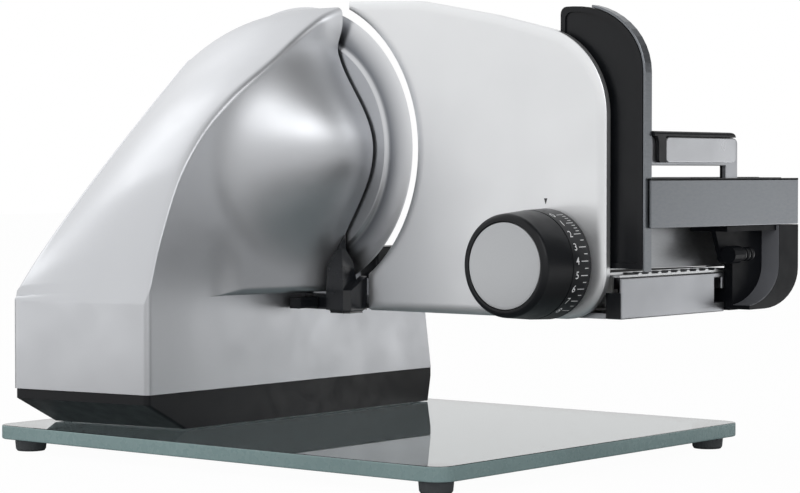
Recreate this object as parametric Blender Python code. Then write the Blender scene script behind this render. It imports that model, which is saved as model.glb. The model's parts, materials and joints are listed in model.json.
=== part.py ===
"""A kitchen food slicer on a glass base, built from its separate pieces.

X runs across the cut, from the side where the slices fall to the carriage side.
Y runs away from the user, along the carriage's travel. Z is up, from the table.
Sizes are in metres. Places are counted from the glass base's front left corner
at table height, and the finished pieces are set around the middle of the
slicer's footprint.
"""

from math import acos, cos, pi, radians, sin, sqrt

import bmesh
import bpy
from mathutils import Matrix, Vector

# Glass base and its feet
GLASS_WIDTH = 0.283
GLASS_DEPTH = 0.325
GLASS_THICK = 0.008
GLASS_CORNER = 0.010
GLASS_EDGE = 0.0008
FOOT_RADIUS = 0.009
FOOT_HEIGHT = 0.007
FOOT_INSET = 0.0145
FOOT_TAPER = 0.0012

# Gaps between pieces
SEAT = 0.0003
RUNNING = 0.0004
SLIDING = 0.0006

# Blade: its cutting edge lies in the cut plane
CUT_X = 0.161
BLADE_Y = 0.232
BLADE_RISE = 0.158
BLADE_RADIUS = 0.085
BLADE_STEP_RADIUS = 0.068
BLADE_THICK = 0.002
BLADE_DISH = 0.0015
BLADE_BEVEL = 0.0022
BLADE_STEP = 0.0013

# Motor housing
WALL_Y = 0.218
HOUSING_LEFT = 0.016
HOUSING_LEFT_BACK = 0.0025
HOUSING_BACK_LEFT = 0.3122
HOUSING_BACK_RIGHT = 0.323
HOUSING_END_GAP = 0.0042
HOUSING_WALL = 0.003
HOUSING_ROUND = 0.003
RIDGE_ROUND = 0.0035
SKIRT_RISE = 0.0215
CREASE_RISE = 0.0742
PEAK_RISE = 0.2442
BACK_EDGE_RISE = 0.140
BACK_EDGE_POWER = 0.885
TOP_POWER_LEFT = 1.2
TOP_POWER_RIGHT = 2.75
WALL_LEAN = 0.019
FLARE = 0.005
FLARE_LENGTH = 0.012
FLARE_START = 0.056
FLARE_HEIGHT = 0.018
DOME_RADIUS = 0.0605
DOME_LENGTH = 0.082
DOME_STEPS = 9
RIDGE_SHAPE = ((0, 0), (0.07, 0.2), (0.19, 0.43), (0.41, 0.648), (0.69, 0.825), (0.9, 0.953), (1, 1))
PLATFORM_RIGHT = 0.271
PLATFORM_SLANT = 0.007
HUB_OPENING = 0.016

# Black skirt and bottom plate under the housing
SKIRT_LIFT = 0.0006
SKIRT_BAND = 0.0056
SKIRT_STEP = 0.0006
SKIRT_SLANT_LEFT = 0.0294
SKIRT_SLANT_RIGHT = 0.003
SKIRT_WALL = 0.003
BOTTOM_INSET = 0.004
BOTTOM_THICK = 0.003

# Guide rail that carries the carriage
RAIL_LEFT = 0.181
RAIL_RIGHT = 0.271
RAIL_HEIGHT = 0.0225
RAIL_FLANGE = 0.003
RAIL_WEB_X = 0.235
RAIL_LIP = 0.0095
RAIL_FOOT = 0.0054
RAIL_REAR = 0.318
RAIL_CAP_FRONT = 0.005
RAIL_CAP_DEPTH = 0.0100
RAIL_CAP_PLATE = 0.0016
RAIL_CAP_LEFT = 0.165
RAIL_CAP_RIGHT = 0.2603
RAIL_CAP_NOTCH = 0.0084
SCREW_RADIUS = 0.002
SCREW_HEAD_RADIUS = 0.004
SCREW_HEAD = 0.0025
SCREW_LENGTH = 0.009
RAIL_SCREW_X = 0.205
RAIL_SCREW_FRONT = 0.235
RAIL_SCREW_REAR = 0.300

# Stop plate
PLATE_CLOSED = 0.0017
PLATE_TRAVEL = 0.0217
PLATE_THICK = 0.0055
PLATE_ROUND = 0.0017
PLATE_ROUND_STEPS = 3
PLATE_EDGE = 0.0006
PLATE_FRONT = 0.0107
PLATE_BACK_TOP = 0.193
PLATE_BACK_BOTTOM = 0.178
PLATE_BOTTOM_RISE = 0.064
PLATE_TOP_RISE = 0.2446
PLATE_FRONT_TOP_RISE = 0.2145
PLATE_CREST_Y = 0.140
PLATE_CREST_DROP = 0.0017
PLATE_SHOULDER_Y = 0.085
PLATE_SHOULDER_RISE = 0.2326
PLATE_TOP_ROUND = 0.050
PLATE_FOOT_ROUND = 0.027
PLATE_BLADE_GAP = 0.0065
GUIDE_ROD_RADIUS = 0.0035
GUIDE_ROD_RISE = 0.073
GUIDE_ROD_FRONT = 0.030
GUIDE_ROD_REAR = 0.120
GUIDE_ROD_END = 0.226
GUIDE_ROD_SEAT = 0.003
ROD_GUIDE_LEFT = 0.1855
ROD_GUIDE_RIGHT = 0.2095
ROD_GUIDE_HALF = 0.008
ROD_GUIDE_COVER = 0.0015

# Thickness knob
KNOB_Y = 0.050
KNOB_RISE = 0.0940
DIAL_RADIUS = 0.0306
DIAL_WIDTH = 0.0153
DIAL_TAPER = 0.0006
GROOVE_DEPTH = 0.0008
GROOVE_WIDTH = 0.0007
GRIP_RADIUS = 0.0299
GRIP_FRONT_RADIUS = 0.0283
KNOB_LENGTH = 0.0384
KNOB_ROUND = 0.0026
CAP_RADIUS = 0.0239
CAP_THICK = 0.0022
KNOB_WALL = 0.0045
KNOB_BOSS_RADIUS = 0.008
KNOB_BOSS_LENGTH = 0.023
KNOB_SLEEVE_WALL = 0.0025
CAM_PIN_RADIUS = 0.002
CAM_PIN_DROP = 0.0195
CAM_PIN_REACH = 0.020

# Carriage
CARRIAGE_TRAVEL = 0.200
CARRIAGE_RIGHT = 0.3268
TRAY_LEFT = 0.1645
TRAY_RIGHT = 0.284
TRAY_FRONT = 0.006
TRAY_DEPTH = 0.170
TRAY_THICK = 0.0012
TRAY_RIB = 0.0009
TRAY_RIB_WIDTH = 0.004
TRAY_RIB_PITCH = 0.0098
TRAY_MARGIN = 0.006
LIP_HEIGHT = 0.0125
LIP_THICK = 0.0135
LIP_DROP = 0.0048
LIP_CLEAR = 0.0025
BAND_FRONT = -0.0113
BAND_THICK = 0.0014
BAND_BOTTOM_RISE = 0.1142
BAND_TOP_RISE = 0.1410
BAND_OVERLAP = 0.0034
WEB_TOP_RISE = 0.1418
FOOD_WALL_Y = 0.015
FOOD_WALL_THICK = 0.002
FOOD_WALL_LEFT = 0.166
FOOD_WALL_GAP = 0.0032
WALL_STRIP_RIGHT = 0.2705
WALL_STRIP_DROP = 0.0013
POCKET_DEPTH = 0.0114
HOOP_WIDTH = 0.022
HOOP_CURVE_X = 0.0385
HOOP_CURVE_Z = 0.0225
HOOP_FLOOR = 0.0018
HOOP_START = 0.262
HOOP_BOTTOM_RISE = 0.0658
SHOE_LEFT = 0.2718
SHOE_THICK = 0.012
SHOE_DEPTH = 0.164
TONGUE_REACH = 0.030
TONGUE_THICK = 0.0048
GLIDE_START = 0.014
GLIDE_LENGTH = 0.026
GLIDE_WALL = 0.0018
GLIDE_HOOK = 0.0058
GLIDE_TOE = 0.0019
GLIDE_DROP = 0.009
SHELF_LEFT = 0.250
SHELF_THICK = 0.003
ARM_LEFT = 0.252
ARM_RIGHT = 0.282
ARM_THICK = 0.003
LOCK_X = 0.264
LOCK_LENGTH = 0.023
LOCK_RADIUS = 0.004
LOCK_BOSS_RADIUS = 0.0052
LOCK_RISE = 0.0975
LOCK_Y = -0.0048
LOCK_AXLE = 0.002

# Pusher that holds the last piece of food
PUSHER_LEFT = 0.1655
PUSHER_THICK = 0.007
PUSHER_FRONT = -0.0095
PUSHER_BACK = 0.0478
PUSHER_BOTTOM_RISE = 0.0905
PUSHER_TOP_RISE = 0.2373
PUSHER_CURVE_Y = 0.047
PUSHER_CURVE_Z = 0.039
PUSHER_CORNER = 0.004
PUSHER_PANEL_RIM = 0.003
PUSHER_PANEL_SINK = 0.001
EDGE_THICK = 0.0014
EDGE_END_Y = 0.028
PUSHER_TRAVEL = 0.060
BRACKET_THICK = 0.0028
BRACKET_BACK_THICK = 0.0012
BRACKET_BOTTOM_RISE = 0.1482
BRACKET_TOP_RISE = 0.1635
BRACKET_FOOT_RISE = 0.1330
LEG_LEFT = 0.2496
LEG_RIGHT = 0.262
GRIP_LIP = 0.0028
GRIP_RIGHT = 0.257
GRIP_DEPTH = 0.016
GRIP_ROUND = 0.004
GRIP_CORNER = 0.0045
GRIP_CHEEK = 0.0088
PAD_LEFT = 0.1843
PAD_MARGIN = 0.0016
PAD_THICK = 0.0022
PAD_CORNER = 0.0028

# Slice deflector below the blade
DEFLECTOR_LEFT = 0.143
DEFLECTOR_RIGHT = 0.160
DEFLECTOR_FRONT = 0.1805
DEFLECTOR_BACK = 0.1975
DEFLECTOR_DROP = 0.0018
DEFLECTOR_BASE = 0.0135
DEFLECTOR_ROUND = 0.0018
DEFLECTOR_CORNER_X = 0.0028
DEFLECTOR_CORNER_Y = 0.0039
DEFLECTOR_WEDGE = 0.008
DEFLECTOR_WEDGE_DEPTH = 0.0055
DEFLECTOR_LEAF = 0.0382
DEFLECTOR_LEAN = 0.0032
DEFLECTOR_ARCH = ((0.2, 1), (0.47, 0.963), (0.885, 0.777), (1, 0.56))
DEFLECTOR_PEAK = 0.0486
DEFLECTOR_PEAK_Y = 0.1937
DEFLECTOR_TAB_LEFT = 0.1475
DEFLECTOR_TAB_HEIGHT = 0.0108

# Switch bar under the dome
SWITCH_LEFT = 0.131
SWITCH_RIGHT = 0.1467
SWITCH_DEPTH = 0.0085
SWITCH_BOTTOM_RISE = 0.0648
SWITCH_TOP_RISE = 0.0712
SWITCH_TRAVEL = 0.0025
SWITCH_STEM = 0.0035
SWITCH_STEM_LENGTH = 0.012

# Worm drive inside the housing
WHEEL_TEETH = 40
WHEEL_RADIUS = 0.030
TOOTH_OUT = 0.001
TOOTH_IN = 0.0014
WHEEL_X = 0.119
WHEEL_WIDTH = 0.012
WHEEL_HUB_RADIUS = 0.012
WORM_RADIUS = 0.008
WORM_TURNS = 6
WORM_STEPS = 20
SHAFT_RADIUS = 0.006
SHAFT_LEFT = 0.109
SHAFT_FLANGE_RADIUS = 0.014
BUSH_WALL = 0.004
CASE_PLATE = 0.006
CASE_RADIUS = 0.041
CASE_HUB_WALL = 0.005
CASE_HUB_LENGTH = 0.022
CASE_ARM_RISE = 0.0205
CASE_ARM_HEIGHT = 0.0085
CASE_ARM_HALF = 0.008
MOTOR_RADIUS = 0.029
MOTOR_HEIGHT = 0.074
MOTOR_WALL = 0.002
MOTOR_CAP = 0.003
MOTOR_SHAFT_RADIUS = 0.004
ARMATURE_RADIUS = 0.020
ARMATURE_HEIGHT = 0.040
ARMATURE_LIFT = 0.012
FAN_RADIUS = 0.024
FAN_HEIGHT = 0.006
FAN_BLADES = 8
SCREW_CAP_RADIUS = 0.010
SCREW_CAP_THICK = 0.0012

# Facets on turned pieces
ROUND_FINE = 60
ROUND_MEDIUM = 32
ROUND_SMALL = 14
ARC_STEPS = 5

# Places worked out from the sizes above
GLASS_TOP = FOOT_HEIGHT + GLASS_THICK
BLADE_Z = GLASS_TOP + BLADE_RISE
HOUSING_END = CUT_X - HOUSING_END_GAP
SKIRT_TOP = GLASS_TOP + SKIRT_RISE
CREASE_Z = GLASS_TOP + CREASE_RISE
RAIL_BOTTOM = GLASS_TOP + HOOP_BOTTOM_RISE - 0.0013
PLATFORM_TOP = RAIL_BOTTOM - SEAT
RAIL_TOP = RAIL_BOTTOM + RAIL_HEIGHT
TRAY_BOTTOM = RAIL_TOP + SEAT
TRAY_TOP = TRAY_BOTTOM + TRAY_THICK
PLATE_FACE = CUT_X + PLATE_CLOSED
PLATE_OUTER = PLATE_FACE - PLATE_THICK
GLIDE_LEFT = RAIL_LEFT - GLIDE_WALL - 2 * SLIDING
KNOB_Z = GLASS_TOP + KNOB_RISE
PUSHER_RIGHT = PUSHER_LEFT + PUSHER_THICK
WORM_LEAD = 2 * pi * WHEEL_RADIUS / WHEEL_TEETH
WORM_Y = BLADE_Y + WHEEL_RADIUS + WORM_RADIUS
MIDDLE = Vector((CARRIAGE_RIGHT / 2, (GLASS_DEPTH + BAND_FRONT) / 2, 0))

AXES = {"X": (1, 2, 0), "Y": (0, 2, 1), "Z": (0, 1, 2)}


def clear_scene():
    for thing in list(bpy.data.objects):
        bpy.data.objects.remove(thing, do_unlink=True)


def material(name, colour, roughness, metallic=0.0, see_through=0.0):
    made = bpy.data.materials.new(name)
    made.use_nodes = True
    shader = made.node_tree.nodes["Principled BSDF"]
    shader.inputs["Base Color"].default_value = (*colour, 1)
    shader.inputs["Roughness"].default_value = roughness
    shader.inputs["Metallic"].default_value = metallic
    shader.inputs["Transmission Weight"].default_value = see_through
    made.diffuse_color = (*colour, 1)
    return made


def make_materials():
    return {
        "silver": material("silver_paint", (0.62, 0.63, 0.65), 0.34, 0.75),
        "plate": material("satin_plate", (0.68, 0.69, 0.71), 0.38, 0.85),
        "chrome": material("polished_steel", (0.62, 0.63, 0.65), 0.16, 1.0),
        "steel": material("stainless_steel", (0.60, 0.61, 0.62), 0.28, 1.0),
        "aluminium": material("satin_aluminium", (0.70, 0.71, 0.73), 0.36, 1.0),
        "black": material("black_plastic", (0.022, 0.024, 0.028), 0.42),
        "rubber": material("grey_rubber", (0.06, 0.065, 0.07), 0.75),
        "glass": material("green_glass", (0.42, 0.54, 0.52), 0.04, 0.0, 0.6),
        "white": material("white_nylon", (0.82, 0.82, 0.80), 0.45),
        "brass": material("bronze_bush", (0.55, 0.38, 0.20), 0.40, 1.0),
    }


def set_piece(name, mesh_data, finish, pivot=None, smooth=30):
    """Turn a bmesh built in slicer places into an object with its origin at the pivot."""
    pivot = Vector(pivot) if pivot else Vector((0, 0, 0))
    bmesh.ops.recalc_face_normals(mesh_data, faces=mesh_data.faces)
    bmesh.ops.translate(mesh_data, verts=mesh_data.verts, vec=-pivot)
    mesh = bpy.data.meshes.new(name)
    mesh_data.to_mesh(mesh)
    mesh_data.free()
    mesh.shade_smooth()
    mesh.set_sharp_from_angle(angle=radians(smooth))
    piece = bpy.data.objects.new(name, mesh)
    piece.location = pivot - MIDDLE
    bpy.context.scene.collection.objects.link(piece)
    if finish:
        mesh.materials.append(finish)
    return piece


def set_tool(name, mesh_data):
    """A cutting or joining shape that is not a piece of the slicer."""
    tool = set_piece(name, mesh_data, None)
    tool.hide_render = True
    tool.display_type = "WIRE"
    return tool


def change(piece, tool, operation):
    step = piece.modifiers.new(tool.name, "BOOLEAN")
    step.operation = operation
    step.solver = "EXACT"
    step.object = tool


def cut(piece, mesh_data):
    change(piece, set_tool(piece.name + "_cut", mesh_data), "DIFFERENCE")


def join(piece, mesh_data):
    change(piece, set_tool(piece.name + "_add", mesh_data), "UNION")


def soften(piece, width, segments=2, angle=35):
    step = piece.modifiers.new("soft_edges", "BEVEL")
    step.width = width
    step.segments = segments
    step.limit_method = "ANGLE"
    step.angle_limit = radians(angle)
    step.use_clamp_overlap = True


def prism(outline, axis, low, high):
    """A flat outline pushed along an axis. Its points are in the other two axes, in X, Y, Z order."""
    first, second, along = AXES[axis]
    shape = bmesh.new()
    ends = []
    for place in (low, high):
        ring = []
        for point in outline:
            corner = [0, 0, 0]
            corner[first], corner[second], corner[along] = point[0], point[1], place
            ring.append(shape.verts.new(corner))
        ends.append(ring)
    near, far = ends
    count = len(outline)
    for index in range(count):
        after = (index + 1) % count
        shape.faces.new((near[index], near[after], far[after], far[index]))
    shape.faces.new(near[::-1])
    shape.faces.new(far)
    return shape


def box(x_span, y_span, z_span):
    outline = [(x_span[0], y_span[0]), (x_span[1], y_span[0]), (x_span[1], y_span[1]), (x_span[0], y_span[1])]
    return prism(outline, "Z", *z_span)


def lathe(profile, axis, centre, steps):
    """Turn a profile of (distance along the axis, radius) points about an axis."""
    first, second, along = AXES[axis]
    shape = bmesh.new()
    rings = []
    for place, radius in profile:
        count = steps if radius > 0 else 1
        ring = []
        for index in range(count):
            angle = 2 * pi * index / steps
            corner = [0, 0, 0]
            corner[first] = centre[0] + radius * cos(angle)
            corner[second] = centre[1] + radius * sin(angle)
            corner[along] = place
            ring.append(shape.verts.new(corner))
        rings.append(ring)
    closed = profile[0][1] > 0
    pairs = list(zip(rings, rings[1:]))
    if closed:
        pairs.append((rings[-1], rings[0]))
    for ring, after in pairs:
        for index in range(steps):
            around = (index + 1) % steps
            corners = [ring[index % len(ring)], ring[around % len(ring)],
                       after[around % len(after)], after[index % len(after)]]
            unique = list(dict.fromkeys(corners))
            if len(unique) > 2:
                shape.faces.new(unique)
    return shape


def rod(axis, centre, low, high, radius, steps=ROUND_SMALL):
    return lathe([(low, 0), (low, radius), (high, radius), (high, 0)], axis, centre, steps)


def tube(axis, centre, low, high, outer, inner, steps=ROUND_MEDIUM):
    return lathe([(low, inner), (low, outer), (high, outer), (high, inner)], axis, centre, steps)


def rounded(points, radii, steps=ARC_STEPS):
    """Replace each corner of an outline by an arc of its own radius."""
    if not isinstance(radii, (list, tuple)):
        radii = [radii] * len(points)
    outline = []
    for index, corner in enumerate(points):
        here = Vector(corner)
        before = (Vector(points[index - 1]) - here).normalized()
        after = (Vector(points[(index + 1) % len(points)]) - here).normalized()
        if radii[index] <= 0:
            outline.append(here)
            continue
        half = before.angle(after) / 2
        reach = radii[index] / sin(half)
        centre = here + (before + after).normalized() * reach
        tangent = reach * cos(half)
        start = here + before * tangent - centre
        turn = (here + after * tangent - centre).angle_signed(start)
        for step in range(steps + 1):
            outline.append(centre + Matrix.Rotation(turn * step / steps, 2) @ start)
    return outline


def ellipse_corner(centre, half_first, half_second, start, stop, steps):
    return [(centre[0] + half_first * cos(radians(start + (stop - start) * step / steps)),
             centre[1] + half_second * sin(radians(start + (stop - start) * step / steps)))
            for step in range(steps + 1)]


def loft(sections):
    """Join outlines of equal length into one closed skin with flat ends."""
    shape = bmesh.new()
    rings = [[shape.verts.new(point) for point in section] for section in sections]
    count = len(rings[0])
    for ring, after in zip(rings, rings[1:]):
        for index in range(count):
            around = (index + 1) % count
            shape.faces.new((ring[index], ring[around], after[around], after[index]))
    shape.faces.new(rings[0][::-1])
    shape.faces.new(rings[-1])
    bmesh.ops.remove_doubles(shape, verts=shape.verts, dist=0.00002)
    return shape


def curve_through(points, place):
    """Height of a smooth curve through a few (place, height) points."""
    last = len(points) - 1
    index = 0
    while index < last - 1 and place > points[index + 1][0]:
        index += 1
    (x0, y0), (x1, y1) = points[index], points[index + 1]
    before = points[max(index - 1, 0)]
    after = points[min(index + 2, last)]
    slope_in = (y1 - before[1]) / (x1 - before[0])
    slope_out = (after[1] - y0) / (after[0] - x0)
    width = x1 - x0
    t = (place - x0) / width
    return (y0 * (1 + 2 * t) * (1 - t) ** 2 + slope_in * width * t * (1 - t) ** 2
            + y1 * t * t * (3 - 2 * t) + slope_out * width * t * t * (t - 1))


def wall_lean(x):
    """How far the housing's front leans out of its flat wall towards the blade."""
    share = max(0, (x - HOUSING_LEFT) / (CUT_X - HOUSING_LEFT))
    return WALL_LEAN * share * share


def wall_out(x, z):
    """The lean, and the flare that lifts the wall's last stretch above the dome."""
    along = min(1, max(0, (x - HOUSING_END + FLARE_LENGTH) / FLARE_LENGTH))
    up = min(1, max(0, (z - BLADE_Z - FLARE_START) / FLARE_HEIGHT))
    return wall_lean(x) + FLARE * along * along * up * up * (3 - 2 * up)


def dome_form(shrink):
    """Half an egg round the blade's axis, with its blunt end at the blade."""
    end = HOUSING_END - shrink
    length, radius = DOME_LENGTH - 2 * shrink, DOME_RADIUS - shrink
    profile = [(end, 0), (end, radius)]
    for step in range(1, DOME_STEPS):
        angle = pi / 2 * step / DOME_STEPS
        profile.append((end - length * sin(angle), radius * cos(angle)))
    profile.append((end - length, 0))
    return lathe(profile, "X", (BLADE_Y, BLADE_Z), ROUND_FINE)


def ridge_height(x):
    share = min(1, max(0, (x - HOUSING_LEFT) / (CUT_X - HOUSING_LEFT)))
    return CREASE_Z + (PEAK_RISE - CREASE_RISE) * curve_through(RIDGE_SHAPE, share)


def back_height(share):
    return CREASE_Z + BACK_EDGE_RISE * max(share, 0) ** BACK_EDGE_POWER


def housing_section(share, shift, shrink, floor, front_steps, top_steps):
    """One upright outline across the housing, front bottom to front top to back bottom."""
    front_x = HOUSING_LEFT + (HOUSING_END - HOUSING_LEFT) * share + shift
    back_x = HOUSING_LEFT_BACK + (HOUSING_END - HOUSING_LEFT_BACK) * share + shift
    back_y = HOUSING_BACK_LEFT + (HOUSING_BACK_RIGHT - HOUSING_BACK_LEFT) * share - shrink
    wall = WALL_Y + shrink
    ridge = ridge_height(front_x) - shrink
    back = min(back_height(share), ridge + shrink) - shrink
    crease = min(CREASE_Z + (0 if share > 0 else -shrink), ridge)
    soft = min(RIDGE_ROUND, (ridge - crease) / 3)
    points = [(wall, floor), (wall, crease)]
    for step in range(front_steps + 1):
        z = crease + (ridge - soft - crease) * step / front_steps
        points.append((wall - wall_out(front_x, z), z))
    brow = wall - wall_out(front_x, ridge)
    points.append((brow + soft * 0.3, ridge - soft * 0.3))
    power = TOP_POWER_LEFT + (TOP_POWER_RIGHT - TOP_POWER_LEFT) * share
    for step in range(top_steps + 1):
        across = step / top_steps
        y = brow + soft + (back_y - soft - brow - soft) * across
        points.append((y, ridge + (back - ridge) * across ** power))
    points.append((back_y - soft * 0.3, back - soft * 0.3))
    points.append((back_y, back - soft))
    points.append((back_y, floor))
    span = back_y - wall
    return [Vector((front_x + (back_x - front_x) * (y - wall) / span, y, z)) for y, z in points]


def housing_form(shrink, floor, stations, front_steps, top_steps):
    """The swept housing left of the blade. A shrunken copy of it is the hollow inside."""
    sections = []
    span = HOUSING_END - HOUSING_LEFT
    if shrink == 0:
        for step in range(ARC_STEPS):
            angle = pi / 2 * step / ARC_STEPS
            sections.append(housing_section(0, HOUSING_ROUND * (1 - cos(angle)),
                                            HOUSING_ROUND * (1 - sin(angle)), floor, front_steps, top_steps))
        first = HOUSING_ROUND / span
    else:
        first = 2 * shrink / span
    for step in range(stations):
        share = first + (1 - first) * (step / stations) ** 1.25
        sections.append(housing_section(share, -shrink * share, shrink, floor, front_steps, top_steps))
    sections.append(housing_section(1, -shrink, shrink, floor, front_steps, top_steps))
    return loft(sections)


def platform_form(shrink, left, floor, top):
    right = PLATFORM_RIGHT - shrink
    outline = [(left, floor), (right, floor), (right - PLATFORM_SLANT, top), (left, top)]
    shape = prism(outline, "Y", WALL_Y + shrink, HOUSING_BACK_RIGHT - shrink)
    if shrink == 0:
        ends = [edge for edge in shape.edges
                if all(vert.co.x > right - PLATFORM_SLANT * 1.5 for vert in edge.verts)
                and abs(edge.verts[0].co.y - edge.verts[1].co.y) < 0.0001]
        bmesh.ops.bevel(shape, geom=ends, offset=HOUSING_ROUND, segments=ARC_STEPS, affect="EDGES")
    return shape


def build_glass(finish):
    corners = [(0, 0), (GLASS_WIDTH, 0), (GLASS_WIDTH, GLASS_DEPTH), (0, GLASS_DEPTH)]
    outline = rounded(corners, GLASS_CORNER, 8)
    glass = set_piece("glass_base", prism(outline, "Z", FOOT_HEIGHT, GLASS_TOP), finish["glass"])
    soften(glass, GLASS_EDGE, 2, 60)


def build_feet(finish):
    places = {"front_left": (FOOT_INSET, FOOT_INSET),
              "front_right": (GLASS_WIDTH - FOOT_INSET, FOOT_INSET),
              "rear_left": (FOOT_INSET, GLASS_DEPTH - FOOT_INSET),
              "rear_right": (GLASS_WIDTH - FOOT_INSET, GLASS_DEPTH - FOOT_INSET)}
    top = FOOT_HEIGHT - SEAT
    profile = [(0, 0), (0, FOOT_RADIUS - FOOT_TAPER), (FOOT_TAPER, FOOT_RADIUS - FOOT_TAPER / 3),
               (top * 0.8, FOOT_RADIUS), (top, FOOT_RADIUS - FOOT_TAPER / 4), (top, 0)]
    for side, place in places.items():
        set_piece("foot_" + side, lathe(profile, "Z", place, ROUND_MEDIUM), finish["rubber"])


def skirt_section(top, shrink):
    """The skirt's outline in plan, at its top edge or at its smaller bottom edge."""
    left = HOUSING_LEFT + SKIRT_STEP + (0 if top else SKIRT_SLANT_LEFT) + shrink
    left_back = HOUSING_LEFT_BACK + SKIRT_STEP + (0 if top else SKIRT_SLANT_LEFT) + shrink
    right = PLATFORM_RIGHT - SKIRT_STEP - (0 if top else SKIRT_SLANT_RIGHT) - shrink
    front = WALL_Y + SKIRT_STEP + shrink
    return [(left, front), (right, front), (right, HOUSING_BACK_RIGHT - SKIRT_STEP - shrink),
            (HOUSING_END, HOUSING_BACK_RIGHT - SKIRT_STEP - shrink),
            (left_back, HOUSING_BACK_LEFT - SKIRT_STEP - shrink)]


def skirt_form(low, high):
    levels = ((False, low), (True, SKIRT_TOP - SKIRT_BAND), (True, high))
    sections = []
    for top, height in levels:
        outline = rounded(skirt_section(top, 0), HOUSING_ROUND)
        sections.append([Vector((*point, height)) for point in outline])
    return loft(sections)


def build_skirt(finish):
    low = GLASS_TOP + SKIRT_LIFT
    skirt = set_piece("base_skirt", skirt_form(low, SKIRT_TOP - SEAT), finish["black"])
    hollow = rounded(skirt_section(False, SKIRT_WALL), HOUSING_ROUND)
    cut(skirt, prism(hollow, "Z", low - SKIRT_WALL, SKIRT_TOP + SKIRT_WALL))
    inset = SKIRT_WALL + BOTTOM_INSET
    outline = rounded(skirt_section(False, inset), HOUSING_ROUND)
    plate = prism(outline, "Z", GLASS_TOP + SEAT, GLASS_TOP + SEAT + BOTTOM_THICK)
    set_piece("bottom_plate", plate, finish["steel"])


def build_housing(finish):
    housing = set_piece("motor_housing", housing_form(0, SKIRT_TOP, 26, 8, 10), finish["silver"], smooth=28)
    join(housing, platform_form(0, HOUSING_END, SKIRT_TOP, PLATFORM_TOP))
    join(housing, dome_form(SEAT))
    below = SKIRT_TOP - HOUSING_WALL
    cut(housing, housing_form(HOUSING_WALL, below, 14, 2, 7))
    cut(housing, dome_form(HOUSING_WALL + SEAT))
    roof = PLATFORM_TOP - HOUSING_WALL
    cut(housing, platform_form(HOUSING_WALL, HOUSING_END - 2 * HOUSING_WALL, below, roof))
    cut(housing, rod("X", (BLADE_Y, BLADE_Z), HOUSING_END - 2 * HOUSING_WALL, CUT_X, HUB_OPENING, ROUND_MEDIUM))
    centre = ((SWITCH_LEFT + SWITCH_RIGHT) / 2, GLASS_TOP + (SWITCH_BOTTOM_RISE + SWITCH_TOP_RISE) / 2)
    reach = SWITCH_STEM / 2 + RUNNING
    cut(housing, box((centre[0] - reach, centre[0] + reach), (WALL_Y - HOUSING_WALL, WALL_Y + 2 * HOUSING_WALL),
                     (centre[1] - reach, centre[1] + reach)))
    for place in (RAIL_SCREW_FRONT, RAIL_SCREW_REAR):
        cut(housing, rod("Z", (RAIL_SCREW_X, place), PLATFORM_TOP - 2 * HOUSING_WALL, RAIL_TOP,
                         SCREW_RADIUS + RUNNING))


def build_switch(finish):
    low, high = GLASS_TOP + SWITCH_BOTTOM_RISE, GLASS_TOP + SWITCH_TOP_RISE
    back = WALL_Y - SEAT - SWITCH_TRAVEL
    outline = rounded([(back - SWITCH_DEPTH, low), (back, low), (back, high), (back - SWITCH_DEPTH, high)],
                      [0.0015, 0, 0, 0.0015], 3)
    switch = set_piece("switch_bar", prism(outline, "X", SWITCH_LEFT, SWITCH_RIGHT), finish["black"])
    x, z = (SWITCH_LEFT + SWITCH_RIGHT) / 2, (low + high) / 2
    half = SWITCH_STEM / 2
    join(switch, box((x - half, x + half), (back - SWITCH_DEPTH / 2, back + SWITCH_STEM_LENGTH),
                     (z - half, z + half)))


def solid_of(points):
    """The smallest solid without hollows that holds all the points."""
    shape = bmesh.new()
    for point in points:
        shape.verts.new(point)
    bmesh.ops.convex_hull(shape, input=shape.verts)
    return shape


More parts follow.
